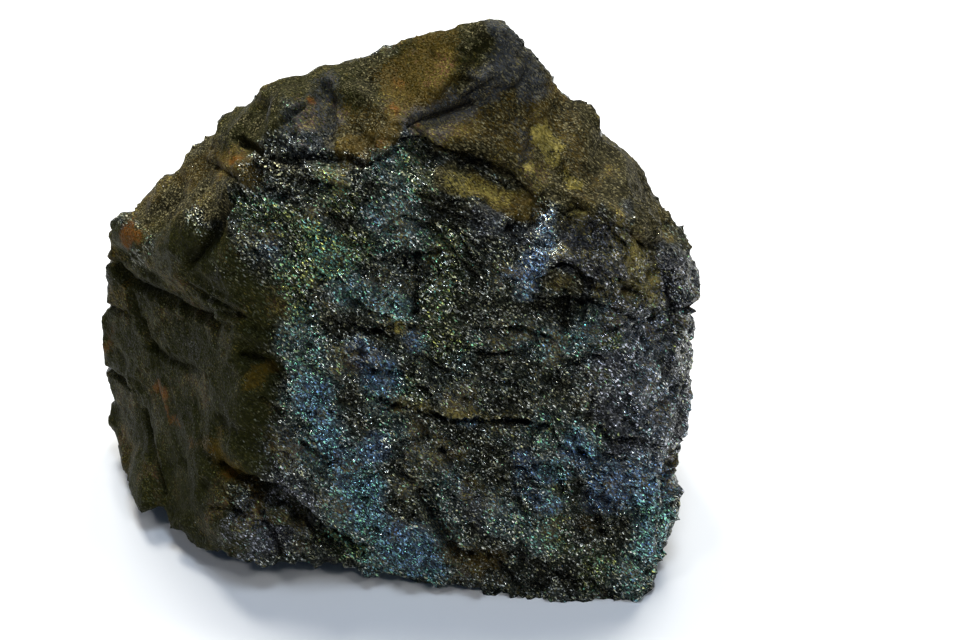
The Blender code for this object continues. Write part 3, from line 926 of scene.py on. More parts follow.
    def _fresh_colour(self, ore: Readings, glint: Term) -> Socket:
        """Colours the ore's dark ground and paints its shining grains as glints, tarnished where the masks
        say so.

        Args:
            ore: What the material reads.
            glint: How much each grain shines.

        Returns:
            The colour of the bare ore.
        """
        graph, grains, cloud = ore.graph, ore.grains, ore.cloud
        sheen = ore.masks[Coat.SHEEN.value]
        total, thickness = self._filmed(ore.masks)
        film, tint = self.films[0].grain, self.films[0].ground
        for layer in self.films[1:]:
            on_grains = Breakup(1.1, 0.75, layer.thickness - 0.10, 0.20).of(thickness, cloud, grains.tone)
            film = graph.mix(on_grains, film, layer.grain)
            between = Breakup(1.1, 0.0, layer.thickness - 0.15, 0.30).of(thickness, cloud)
            tint = graph.mix(between, tint, layer.ground)
        ground = graph.mix(0.8 * SHEEN_BREAKUP.of(sheen, cloud), self.dark, self.sheen.ground)
        ground = graph.mix(0.85 * FILM_BREAKUP.of(total, cloud), ground, tint)
        ground = graph.scaled(ground, 0.34 + 1.12 * grains.shine + 0.85 * (cloud - 0.5))
        # Painted glints: shining grains take a bright colour, silvered in the sheen and tinted by the
        # tarnish, in place of sparkle from the lamps; their higher metal and their tilt add real reflections.
        glow = graph.mix(grains.tone.over(0.6, 0.2), self.light, self.warm)
        glow = graph.mix(SILVERED_GRAINS.of(sheen, cloud, grains.cover), glow, self.sheen.grain)
        glow = graph.mix(TARNISHED_GRAINS.of(total, cloud, grains.cover), glow, film)
        return graph.mix(glint, ground, glow)

    def _stained_colour(self, ore: Readings, coats: dict[Coat, Term], colour: Value) -> Socket:
        """Lays the skins and the stains over the ore, one after another.

        Args:
            ore: What the material reads.
            coats: How fully each coat covers each place.
            colour: The colour of the bare ore.

        Returns:
            The colour with all coats on it.
        """
        graph, grains = ore.graph, ore.grains
        # Painted glints in the skins: shining grains take the skin's light colour.
        for skin in self.skins:
            tone = (grains.shine**skin.power) * skin.grains + skin.clouds * (ore.cloud - skin.middle)
            own = graph.mix(tone, skin.dark, skin.light)
            colour = graph.mix(coats[skin.coat] * self.skin_cover, colour, own)
        for stain in self.stains:
            patchy = stain.share * (0.35 + 0.65 * grains.tone)
            colour = graph.mix(coats[stain.coat] * patchy, colour, stain.colour)
        return colour

    def _normal(self, ore: Readings, skin: Term) -> Socket:
        """Tilts the surface grain by grain, so that single grains catch the light.

        Args:
            ore: What the material reads.
            skin: How fully the skins cover each place.

        Returns:
            The direction that the shader takes.
        """
        graph, fresh = ore.graph, 1.0 - skin
        facing = graph.add("ShaderNodeNewGeometry", {}, {}).outputs["Normal"]
        tilt = graph.vector("SUBTRACT", ore.grains.lean, (0.5, 0.5, 0.5))
        lean = graph.vector("SUBTRACT", ore.clots.lean, (0.5, 0.5, 0.5))
        tilted = graph.vector("ADD", facing, graph.scaled(tilt, self.grain_tilt + self.fresh_tilt * fresh))
        tilted = graph.vector("ADD", tilted, graph.scaled(lean, self.clot_lean + self.fresh_lean * fresh))
        tilted = graph.vector("NORMALIZE", tilted)
        bumps = {"Vector": ore.place, "Scale": self.bump_scale, "Detail": 2.0}
        rough = graph.term("ShaderNodeTexNoise", {}, bumps)
        sockets = {"Strength": 0.9, "Distance": self.bump_depth, "Height": rough, "Normal": tilted}
        return graph.add("ShaderNodeBump", {}, sockets).outputs[0]


@dataclass(frozen=True)
class GrainFinish:
    """The shine of one family of loose grains."""

    name: str
    colour: Colour
    roughness: float

    def material(self) -> bpy.types.Material:
        """Builds the plain metallic material."""
        return plain_material(self.name, self.colour, self.roughness, 1.0)


# ---- Fields over the surface, in millimetres ----

LAYER_NORMAL = Vector((0.36, -0.22, 0.90)).normalized()
SEAM_NORMAL = Vector((0.62, -0.15, 0.75)).normalized()

# How squarely a face has to look at an elevation to take what is drawn there, and how softly that ends.
FRONT_LEAST = 0.02
SIDE_LEAST = 0.45
FADE = 0.2

# A patch fades between half its radius and one and a half times it.
PATCH_EDGE = 1.5

# How quickly the calm rim ends.
RIM_SHARPNESS = 2.5

# How cracks are cut: how far out they count, their flat floor, and a step's width and rising share.
CRACK_END = 2.5
CRACK_FLOOR = 1.25
STEP_WIDTH = 0.5
STEP_RISE = 0.35

# What keeps the noise of one seed, one direction and one layer apart from the next.
NOISE_SHIFT = (17.3, -9.1, 5.7)
CHIP_SHIFT = (3.7, 11.9, -6.3)
TILT_SHIFTS = (Vector((31.4, 0.0, 0.0)), Vector((0.0, 27.2, 0.0)), Vector((0.0, 0.0, 41.7)))
LAYERS_APART = 7.7
TILT_SCALE = 2.3

# How much thinner than wide a chip is, and how sharp a crest of the hackle is.
CHIP_SQUEEZE = 0.8
CREST_SHARPNESS = 4.5


class Seed(IntEnum):
    """Which noise each relief and each ragged edge takes."""

    SLABS = 11
    CHIPS = 12
    CRUMBS = 13
    HACKLE = 15
    LAYERS = 19
    SEAMS = 23
    CRACK_SIDES = 31
    WIDE_RAGS = 41
    FINE_RAGS = 51


def noise_field(points: np.ndarray, size: float, seed: int) -> np.ndarray:
    """Smooth noise between about -1 and 1.

    Args:
        points: Places in millimetres.
        size: How large the noise's features are, in millimetres.
        seed: Which noise to take.

    Returns:
        One value for each place.
    """
    shift = Vector([seed * part for part in NOISE_SHIFT])
    return np.array([noise.noise(Vector(point) / size + shift) for point in points])


@dataclass(frozen=True)
class Sway:
    """Smooth noise of a set strength, with features of a set size in millimetres."""

    strength: float
    size: float

    def at(self, points: np.ndarray, seed: int) -> np.ndarray:
        """Gives the noise at each place."""
        return self.strength * noise_field(points, self.size, seed)


HACKLE_BEND = Sway(2.2, 9.0)
LAYER_BEND = Sway(1.3, 13.0)
FINE_LAYER_BEND = Sway(0.45, 4.0)
LAYER_GAPS = Sway(1.6, 5.5)
WIDE_RAGS = Sway(1.5, 4.5)
FINE_RAGS = Sway(0.8, 1.5)
CRACK_RAGS = Sway(0.5, 1.7)


def chip_field(points: np.ndarray, size: float, slope: float, seed: int) -> np.ndarray:
    """Flat chips: each cell of a squeezed Voronoi pattern is a plane with its own tilt.

    Args:
        points: Places in millimetres.
        size: How wide a chip is, in millimetres.
        slope: How steeply a chip is tilted.
        seed: Which pattern to take.

    Returns:
        A height in millimetres for each place.
    """
    shift = Vector([seed * part for part in CHIP_SHIFT])
    heights = np.empty(len(points))
    for index, point in enumerate(points):
        place = Vector(point)
        place += LAYER_NORMAL * (place.dot(LAYER_NORMAL) * CHIP_SQUEEZE)
        place = place / size + shift
        cell = noise.voronoi(place)[1][0]
        tilt = Vector([noise.noise(cell * TILT_SCALE + shift + offset) for offset in TILT_SHIFTS])
        heights[index] = slope * size * (place - cell).dot(tilt)
    return heights


def hackle_field(points: np.ndarray, across: float, along: float, seed: int) -> np.ndarray:
    """Sharp crests drawn out along the hackle, between about -1 and 1.

    Args:
        points: Places in millimetres.
        across: How far apart the crests are, in millimetres.
        along: How long a crest is, in millimetres.
        seed: Which pattern to take.

    Returns:
        One value for each place.
    """
    way = np.array(HACKLE_WAY)
    bent = points + np.array(LAYER_NORMAL) * HACKLE_BEND.at(points, seed)[:, None]
    drawn = bent / across + np.outer(bent @ way, way) * (1.0 / along - 1.0 / across)
    return np.clip(1.0 - CREST_SHARPNESS * np.abs(noise_field(drawn, 1.0, seed + 1)), -1.0, 1.0)


def ledge_field(
    points: np.ndarray, normal: np.ndarray, thickness: float, lip: float, seed: int
) -> np.ndarray:
    """Broken layers: each stands out more and more down to its lower edge, and is cut back below it.

    Args:
        points: Places in millimetres.
        normal: The direction across the layers.
        thickness: How thick a layer is, in millimetres.
        lip: How wide the cut at a layer's edge is, in millimetres.
        seed: Which layers to take.

    Returns:
        A height between about -0.5 and 0.5 for each place.
    """
    level = points @ normal / thickness
    level += LAYER_BEND.at(points, seed) + FINE_LAYER_BEND.at(points, seed + 1)
    part = level - np.floor(level)
    cut = lip / thickness
    profile = 0.5 - part - smooth_step(1.0 - part / cut)
    own_place = points + np.outer(np.floor(level), normal * LAYERS_APART)
    return profile * smooth_step(0.5 + LAYER_GAPS.at(own_place, seed + 2))


def ragged(points: np.ndarray) -> np.ndarray:
    """Shifts places to and fro, so that what is laid out on them gets ragged edges.

    Args:
        points: Places in millimetres.

    Returns:
        The shifted places.
    """
    shifts = [
        WIDE_RAGS.at(points, Seed.WIDE_RAGS + axis) + FINE_RAGS.at(points, Seed.FINE_RAGS + axis)
        for axis in range(3)
    ]
    return points + np.stack(shifts, axis=1)


def line_distance(
    points: np.ndarray, elevation: Elevation, line: tuple[Spot, ...]
) -> tuple[np.ndarray, np.ndarray]:
    """How far places are from a line that is drawn on an elevation, in millimetres.

    Args:
        points: Places in millimetres.
        elevation: The drawing that the line is on.
        line: The line's points on the drawing. One point alone makes a spot.

    Returns:
        The distance of each place as drawn, and how far it lies to the right of the line.
    """
    right, up, _ = np.array(elevation.value)
    flat = np.stack([points @ right, points @ up], axis=1)
    best = np.full(len(flat), np.inf)
    side = np.zeros(len(flat))
    corners = np.array(line if len(line) > 1 else line * 2, float)
    for start, end in zip(corners[:-1], corners[1:]):
        length = np.linalg.norm(end - start)
        direction = (end - start) / max(length, 1e-6)
        along = np.clip((flat - start) @ direction, 0.0, length)
        apart = flat - (start + along[:, None] * direction)
        distance = np.linalg.norm(apart, axis=1)
        nearer = distance < best
        best[nearer] = distance[nearer]
        side[nearer] = (apart @ np.array((direction[1], -direction[0])))[nearer]
    return best, side


def faces_drawing(normals: np.ndarray, elevation: Elevation) -> np.ndarray:
    """How fully places belong to an elevation, from 0 to 1: the front takes all that it shows."""
    least = FRONT_LEAST if elevation == Elevation.HIGH_FRONT else SIDE_LEAST
    return smooth_step((normals @ np.array(elevation.value[2]) - least) / FADE)


def coat_mask(places: np.ndarray, normals: np.ndarray, coat: Coat) -> np.ndarray:
    """A coat's soft mask.

    Args:
        places: Places in millimetres, with ragged edges already in them.
        normals: Outward directions there.
        coat: The coat.

    Returns:
        Between 0 and 1 for each place.
    """
    mask = np.zeros(len(places))
    for elevation, coats in PATCHES.items():
        shown = faces_drawing(normals, elevation)
        for patch in coats.get(coat, ()):
            distance, _ = line_distance(places, elevation, patch.points)
            spread = smooth_step(PATCH_EDGE - distance / patch.radius)
            mask = np.maximum(mask, patch.strength * shown * spread)
    return mask


def crack_field(
    points: np.ndarray, normals: np.ndarray, elevation: Elevation, crack: Crack
) -> tuple[np.ndarray, np.ndarray]:
    """What one crack does to the surface.

    Args:
        points: Places in millimetres.
        normals: Outward directions there.
        elevation: The drawing that the crack is on.
        crack: The crack.

    Returns:
        The height that it adds in millimetres, and how deep in the crack each place is, from 0 to 1.
    """
    best, side = line_distance(points, elevation, crack.points)
    shown = faces_drawing(normals, elevation)
    near = (best < CRACK_END * max(crack.width, crack.reach)) & (shown > 0.0)
    best = best[near] * (1.0 + CRACK_RAGS.at(points[near], Seed.CRACK_SIDES))
    inside = np.clip(CRACK_FLOOR - best / crack.width, 0.0, 1.0)
    over = smooth_step(side[near] / STEP_WIDTH + 0.5)
    sunk = crack.step * (over - STEP_RISE) * np.exp(-((best / crack.reach) ** 2))
    heights = np.zeros(len(points))
    depths = np.zeros(len(points))
    heights[near] = -shown[near] * (crack.depth * inside + sunk)
    depths[near] = shown[near] * inside * min(crack.depth, 1.0)
    return heights, depths


# ---- The lump ----


def edge_on(normals: np.ndarray) -> np.ndarray:
    """How far the surface turns away from the main side, as one where it makes that side's outline."""
    return 1.0 - smooth_step(RIM_SHARPNESS * np.abs(normals @ np.array(Elevation.HIGH_FRONT.value[2])))


@dataclass
class RockBody:
    """The lump's visible surface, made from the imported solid. Lengths are in millimetres."""

    grid: float = 0.580
    fine_reach: float = 1.3
    wear_passes: int = 1
    margin: float = 0.22
    slab_size: float = 8.0
    slab_slope: float = 0.20
    chip_size: float = 3.4
    chip_slope: float = 0.33
    hackle_across: float = 2.6
    hackle_along: float = 9.0
    hackle_rise: float = 0.14
    layer_thickness: float = 4.2
    layer_rise: float = 1.4
    seam_thickness: float = 1.7
    seam_rise: float = 0.42
    lip: float = 0.6
    rim_calm: float = 0.7
    brown_calm: float = 0.75
    olive_calm: float = 0.82
    least_relief: float = 0.18
    crumb_size: float = 0.9
    crumb_rise: float = 0.06
    crisp_passes: int = 4
    crispness: float = 0.8
    cavity_gain: float = 3.0
    # How strongly a crack's depth counts in the painted shade.
    crack_shade: float = 0.75
    finish: OreFinish = field(default_factory=OreFinish)

    def build(self) -> bpy.types.Object:
        """Makes, carves, masks and dresses the surface.

        Returns:
            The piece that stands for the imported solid.
        """
        mesh = self._fine_mesh()
        self._refine(mesh)
        points, normals = read_shape(mesh)
        sides = face_sides(mesh, normals)
        places = ragged(points)
        masks = {coat.value: coat_mask(places, normals, coat) for coat in Coat}
        height, depth = self._relief(points, normals, masks)
        raised = points + normals * height[:, None]
        worn = self._worn(mesh, raised)
        cavity = ((raised - worn) * normals).sum(axis=1) * self.cavity_gain
        # Painted shade: crack depth and concave cavity darken the colour, standing in for the shade that
        # falls into them.
        masks[HOLLOW_SHADE_MASK] = np.clip(np.maximum(self.crack_shade * depth, -cavity), 0.0, 1.0)
        # Painted highlight: convex crests take more painted glints, as if they caught more light.
        masks[CREST_HIGHLIGHT_MASK] = np.clip(cavity, 0.0, 1.0)
        self._write_masks(mesh, masks)
        outward = mesh.attributes.new(OUTWARD, "FLOAT_VECTOR", "POINT")
        outward.data.foreach_set("vector", normals.astype(np.float32).ravel())
        points = inside_box(raised + self.crispness * (raised - worn), self.margin, 0.0)
        move_points(mesh, points)
        write_bake_map(mesh, points, sides)
        mesh.materials.clear()
        mesh.materials.append(self.finish.material())
        mesh.shade_smooth()
        piece = link_new("germanite_surface", mesh)
        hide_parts(NODE)
        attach(piece, BODY)
        return piece

    def _fine_mesh(self) -> bpy.types.Mesh:
        """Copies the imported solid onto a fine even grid, with its facets worn off.

        Returns:
            The new mesh, in millimetres.
        """
        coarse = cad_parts[NODE].data.copy()
        merged = bmesh.new()
        merged.from_mesh(coarse)
        bmesh.ops.remove_doubles(merged, verts=merged.verts, dist=0.001 * MM)
        bmesh.ops.scale(merged, vec=(1 / MM, 1 / MM, 1 / MM), verts=merged.verts)
        merged.to_mesh(coarse)
        merged.free()
        helper = link_new("helper", coarse)
        remesh = helper.modifiers.new("grid", "REMESH")
        remesh.mode = "VOXEL"
        remesh.voxel_size = self.grid
        wear = helper.modifiers.new("wear", "SMOOTH")
        wear.factor = 0.5
        wear.iterations = self.wear_passes
        graph = bpy.context.evaluated_depsgraph_get()
        mesh = bpy.data.meshes.new_from_object(helper.evaluated_get(graph))
        mesh.name = "germanite_surface"
        bpy.data.objects.remove(helper)
        bpy.data.meshes.remove(coarse)
        return mesh

    def _refine(self, mesh: bpy.types.Mesh) -> None:
        """Splits the faces along the front's cracks, so that the cracks come out sharp.

        Args:
            mesh: The fine mesh.
        """
        points, normals = read_shape(mesh)
        front = Elevation.HIGH_FRONT
        near = np.zeros(len(points), bool)
        for crack in CRACKS[front]:
            near |= line_distance(points, front, crack.points)[0] < self.fine_reach
        near &= faces_drawing(normals, front) > 0.0
        finer = bmesh.new()
        finer.from_mesh(mesh)
        edges = [edge for edge in finer.edges if near[edge.verts[0].index] and near[edge.verts[1].index]]
        bmesh.ops.subdivide_edges(finer, edges=edges, cuts=1, use_grid_fill=True)
        finer.to_mesh(mesh)
        finer.free()

    def _relief(
        self, points: np.ndarray, normals: np.ndarray, masks: dict[str, np.ndarray]
    ) -> tuple[np.ndarray, np.ndarray]:
        """Adds up the fine relief.

        Args:
            points: Places in millimetres.
            normals: Outward directions there.
            masks: The coats' masks there. The skins calm the relief.

        Returns:
            The relief's height in millimetres, and how deep in a crack each place is, from 0 to 1.
        """
        calm = 1.0 - self.brown_calm * masks[Coat.BROWN.value] - self.olive_calm * masks[Coat.OLIVE.value]
        calm = np.clip(calm, self.least_relief, 1.0)
        height = chip_field(points, self.slab_size, self.slab_slope, Seed.SLABS)
        height += chip_field(points, self.chip_size, self.chip_slope, Seed.CHIPS)
        hackle = hackle_field(points, self.hackle_across, self.hackle_along, Seed.HACKLE)
        height += self.hackle_rise * hackle
        layers, seams = np.array(LAYER_NORMAL), np.array(SEAM_NORMAL)
        height += self.layer_rise * ledge_field(points, layers, self.layer_thickness, self.lip, Seed.LAYERS)
        height += self.seam_rise * ledge_field(points, seams, self.seam_thickness, self.lip, Seed.SEAMS)
        height += self.crumb_rise * noise_field(points, self.crumb_size, Seed.CRUMBS)
        height = (height - height.mean()) * calm * (1.0 - self.rim_calm * edge_on(normals))
        depth = np.zeros(len(points))
        for elevation, cracks in CRACKS.items():
            for crack in cracks:
                added, inside = crack_field(points, normals, elevation, crack)
                height += added
                depth = np.maximum(depth, inside)
        return height, depth

    def _worn(self, mesh: bpy.types.Mesh, points: np.ndarray) -> np.ndarray:
        """Averages each point with its neighbours, again and again, as wear would.

        Args:
            mesh: The mesh, for its edges.
            points: Its points as they are now.

        Returns:
            The worn points.
        """
        ends = read_rows(mesh.edges, "vertices", 2, np.int32)
        first, second = ends.T
        count = np.bincount(ends.ravel(), minlength=len(points))[:, None]
        worn = points
        for _ in range(self.crisp_passes):
            total = np.zeros_like(points)
            for axis in range(3):
                total[:, axis] += np.bincount(first, worn[second, axis], len(points))
                total[:, axis] += np.bincount(second, worn[first, axis], len(points))
            worn = 0.5 * worn + 0.5 * total / count
        return worn

    @staticmethod
    def _write_masks(mesh: bpy.types.Mesh, masks: dict[str, np.ndarray]) -> None:
        """Stores the masks on the points.

        Args:
            mesh: The mesh.
            masks: The masks by name.
        """
        for name, mask in masks.items():
            layer = mesh.attributes.new(name, "FLOAT", "POINT")
            layer.data.foreach_set("value", mask.astype(np.float32))


def inside_box(points: np.ndarray, margin: float, floor_margin: float) -> np.ndarray:
    """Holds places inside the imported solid's box. All lengths are in millimetres.

    Args:
        points: The places.
        margin: How far inside the box they stay.
        floor_margin: The same for the box's bottom.

    Returns:
        The places, moved where they were outside.
    """
    lowest = np.array(CAD_BOX[0]) / MM + (margin, margin, floor_margin)
    highest = np.array(CAD_BOX[1]) / MM - margin
    return np.clip(points, lowest, highest)


def main_sides(facing: np.ndarray) -> np.ndarray:
    """Which of the six main directions each vector looks along: axis number, plus 3 if it looks back."""
    axis = np.abs(facing).argmax(axis=1)
    return axis + 3 * (facing[np.arange(len(axis)), axis] < 0)


def face_sides(mesh: bpy.types.Mesh, normals: np.ndarray) -> np.ndarray:
    """Which of the six main directions each face looks along, by the normals of its corners.

    Args:
        mesh: The mesh.
        normals: The outward directions at its points.

    Returns:
        A number for each face, as main_sides gives it.
    """
    corners = read_rows(mesh.loops, "vertex_index", kind=np.int32)
    starts = read_rows(mesh.polygons, "loop_start", kind=np.int32)
    return main_sides(np.add.reduceat(normals[corners], starts))


def write_bake_map(mesh: bpy.types.Mesh, points: np.ndarray, sides: np.ndarray) -> None:
    """Lays the six sides out flat beside each other, as a map for baked textures.

    Args:
        mesh: The mesh that gets the map.
        points: Its points in millimetres.
        sides: The side that each face belongs to.
    """
    corners = read_rows(mesh.loops, "vertex_index", kind=np.int32)
    side = np.repeat(sides, read_rows(mesh.polygons, "loop_total", kind=np.int32))
    size = points.max(axis=0) - points.min(axis=0)
    place = (points - points.min(axis=0))[corners]
    gap = 2.0
    across = size[0] + gap
    rows = (0.0, size[2] + gap, 2 * (size[2] + gap))
    sheet = max(across + size[0], rows[2] + size[1])
    # For each side: the axes that run right and up on the map, and where its corner lies.
    layouts = {
        4: (0, 2, 0.0, rows[0]),
        1: (0, 2, 0.0, rows[1]),
        3: (1, 2, across, rows[0]),
        0: (1, 2, across, rows[1]),
        2: (0, 1, 0.0, rows[2]),
        5: (0, 1, across, rows[2]),
    }
    flat = np.empty((len(corners), 2))
    for number, (first, second, left, low) in layouts.items():
        chosen = side == number
        flat[chosen, 0] = (place[chosen, first] + left) / sheet
        flat[chosen, 1] = (place[chosen, second] + low) / sheet
    layer = mesh.uv_layers.new(name=BAKE_MAP)
    layer.uv.foreach_set("vector", flat.astype(np.float32).ravel())


# ---- Hackle and loose grains ----

ANY_WAY = (math.pi, math.pi, math.pi)

# A grain's size is its drawn size times a chance to this power, and a least scale.
FEW_LARGE = 2.5
LEAST_SCALE = 0.6


@dataclass(frozen=True)
class GrainSizes:
    """The sizes between which grains are drawn: length, width and thickness, in millimetres."""

    smallest: Point
    largest: Point


@dataclass
class Scatter:
    """Many small flat-faced grains or splinters, set into the surface. Lengths are in millimetres."""

    name: str
    material: bpy.types.Material
    coats: dict[Coat, float]
    everywhere: float
    per_square_mm: float
    sizes: GrainSizes
    seed: int
    turn: Point = ANY_WAY
    needs_bake_map: bool = False
    sunk: float = 0.06
    rim_calm: float = 0.3
    crack_calm: float = 0.8
    bare_foot: float = 0.5
    foot_fade: float = 0.8
    inset: float = 0.03

    def build(self, surface: bpy.types.Object) -> bpy.types.Object:
        """Scatters the grains over the surface and makes them one plain mesh.

        Args:
            surface: The lump that carries the grains.

        Returns:
            The piece.
        """
        piece = link_new(self.name, surface.data.copy())
        self._write_share(piece.data)
        tree, sockets = self._tree()
        modifier = piece.modifiers.new("grains", "NODES")
        modifier.node_group = tree
        modifier[sockets["Per Square Metre"]] = self.per_square_mm / MM**2
        modifier[sockets["Smallest"]] = [length * MM for length in self.sizes.smallest]
        modifier[sockets["Largest"]] = [length * MM for length in self.sizes.largest]
        modifier[sockets["Turn"]] = self.turn
        modifier[sockets["Finish"]] = self.material
        graph = bpy.context.evaluated_depsgraph_get()
        mesh = bpy.data.meshes.new_from_object(piece.evaluated_get(graph))
        mesh.name = self.name
        base = piece.data
        piece.modifiers.remove(modifier)
        piece.data = mesh
        bpy.data.meshes.remove(base)
        self._settle(mesh)
        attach(piece, BODY)
        return piece

    def _write_share(self, mesh: bpy.types.Mesh) -> None:
        """Stores how thickly the grains lie at each point, with few in the cracks and none at the foot.

        Args:
            mesh: The surface that is strewn.
        """
        share = np.full(len(mesh.vertices), self.everywhere)
        for coat, weight in self.coats.items():
            share += weight * self._mask(mesh, coat.value)
        height = read_rows(mesh.vertices, "co", 3)[:, 2] / MM
        share = np.clip(share, 0.0, 1.0) * smooth_step((height - self.bare_foot) / self.foot_fade)
        share *= 1.0 - self.crack_calm * self._mask(mesh, HOLLOW_SHADE_MASK)
        share *= 1.0 - self.rim_calm * edge_on(read_shape(mesh)[1])
        layer = mesh.attributes.new("grain_share", "FLOAT", "POINT")
        layer.data.foreach_set("value", share.astype(np.float32))

    @staticmethod
    def _mask(mesh: bpy.types.Mesh, name: str) -> np.ndarray:
        """Reads a stored mask."""
        return read_rows(mesh.attributes[name].data, "value")

    def _settle(self, mesh: bpy.types.Mesh) -> None:
        """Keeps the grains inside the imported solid's box, and gives them flat faces and a map if asked.

        Args:
            mesh: The grains' mesh.
        """
        mesh.shade_flat()
        points = inside_box(read_rows(mesh.vertices, "co", 3).astype(float) / MM, self.inset, self.inset)
        move_points(mesh, points)
        if self.needs_bake_map:
            write_bake_map(mesh, points, main_sides(read_rows(mesh.polygons, "normal", 3)))

    def _tree(self) -> tuple[bpy.types.NodeTree, dict[str, str]]:
        """Builds the tree that scatters grains.

        Returns:
            The tree, and the identifiers of its named inputs.
        """
        tree = bpy.data.node_groups.new(f"{self.name}_tree", "GeometryNodeTree")
        tree.interface.new_socket("Geometry", in_out="INPUT", socket_type="NodeSocketGeometry")
        kinds = {
            "Per Square Metre": "NodeSocketFloat",
            "Smallest": "NodeSocketVector",
            "Largest": "NodeSocketVector",
            "Turn": "NodeSocketVector",
            "Finish": "NodeSocketMaterial",
        }
        sockets = {}
        for name, kind in kinds.items():
            sockets[name] = tree.interface.new_socket(name, in_out="INPUT", socket_type=kind).identifier
        tree.interface.new_socket("Geometry", in_out="OUTPUT", socket_type="NodeSocketGeometry")
        graph = NodeGraph(tree)
        given = graph.add("NodeGroupInput", {}, {}).outputs
        share = graph.add("GeometryNodeInputNamedAttribute", {"data_type": "FLOAT"}, {"Name": "grain_share"})
        density = Term(graph, share.outputs[0]) * Term(graph, given["Per Square Metre"])
        spots = graph.add(
            "GeometryNodeDistributePointsOnFaces",
            {"distribute_method": "RANDOM"},
            {"Mesh": given["Geometry"], "Density": density, "Seed": self.seed},
        )
        stored = {"data_type": "FLOAT_VECTOR"}
        outward = graph.add("GeometryNodeInputNamedAttribute", stored, {"Name": OUTWARD}).outputs[0]
        inward = graph.scaled(outward, -self.sunk * MM)
        sunk = graph.add(
            "GeometryNodeSetPosition", {}, {"Geometry": spots.outputs["Points"], "Offset": inward}
        )
        chip = graph.add("GeometryNodeMeshUVSphere", {}, {"Segments": 4, "Rings": 2, "Radius": 0.5})
        placed = graph.add(
            "GeometryNodeInstanceOnPoints",
            {},
            {
                "Points": sunk.outputs[0],
                "Instance": chip.outputs["Mesh"],
                "Rotation": self._rotation(graph, outward, given["Turn"]),
                "Scale": self._scale(graph, given["Smallest"], given["Largest"]),
            },
        )
        real = graph.add("GeometryNodeRealizeInstances", {}, {"Geometry": placed.outputs[0]})
        dressed = graph.add(
            "GeometryNodeSetMaterial", {}, {"Geometry": real.outputs[0], "Material": given["Finish"]}
        )
        graph.add("NodeGroupOutput", {}, {"Geometry": dressed.outputs[0]})
        return tree, sockets

    def _random(self, graph: NodeGraph, kind: str, draw: int) -> bpy.types.Node:
        """Draws a random value for each grain."""
        return graph.add("FunctionNodeRandomValue", {"data_type": kind}, {"Seed": self.seed * 10 + draw})

    def _rotation(self, graph: NodeGraph, normal: Value, turn: Value) -> Socket:
        """Lays each grain along the hackle on the surface, then turns it by a random part of the turn.

        Args:
            graph: The tree's graph.
            normal: The outward direction.
            turn: The largest turn about each axis.

        Returns:
            The rotation.
        """
        laid = graph.add(
            "FunctionNodeAxesToRotation",
            {"primary_axis": "Z", "secondary_axis": "X"},
            {0: normal, 1: tuple(HACKLE_WAY)},
        )
        part = self._random(graph, "FLOAT_VECTOR", 1)
        part.inputs[0].default_value = (-1.0, -1.0, -1.0)
        part.inputs[1].default_value = (1.0, 1.0, 1.0)
        angles = graph.vector("MULTIPLY", part.outputs[0], turn)
        spun = graph.add("FunctionNodeEulerToRotation", {}, {0: angles})
        turns = {0: laid.outputs[0], 1: spun.outputs[0]}
        return graph.add("FunctionNodeRotateRotation", {"rotation_space": "LOCAL"}, turns).outputs[0]

    def _scale(self, graph: NodeGraph, smallest: Value, largest: Value) -> Socket:
        """Gives each grain its size: many small ones and a few large.

        Args:
            graph: The tree's graph.
            smallest: The smallest size that is drawn.
            largest: The largest size that is drawn.

        Returns:
            The size.
        """
        shape = self._random(graph, "FLOAT_VECTOR", 2)
        graph.tree.links.new(smallest, shape.inputs[0])
        graph.tree.links.new(largest, shape.inputs[1])
        drawn = self._random(graph, "FLOAT", 3)
        luck = next(socket for socket in drawn.outputs if socket.type == "VALUE" and socket.enabled)
        return graph.scaled(shape.outputs[0], Term(graph, luck) ** FEW_LARGE + LEAST_SCALE)


DARK = GrainFinish("dark_grains", (0.085, 0.085, 0.075), 0.26)
BRONZE = GrainFinish("bronze_grains", (0.100, 0.086, 0.058), 0.30)
STEEL = GrainFinish("steel_grains", (0.80, 0.80, 0.76), 0.20)
TEAL = GrainFinish("teal_grains", (0.22, 0.80, 0.70), 0.24)
BLUE = GrainFinish("blue_grains", (0.20, 0.42, 0.95), 0.24)
GOLD = GrainFinish("gold_grains", (0.72, 0.78, 0.26), 0.24)
SPLINTERS = GrainSizes((0.30, 0.25, 0.07), (0.70, 0.50, 0.14))
COARSE = GrainSizes((0.12, 0.11, 0.09), (0.27, 0.24, 0.18))
FINE = GrainSizes((0.08, 0.08, 0.06), (0.19, 0.17, 0.14))


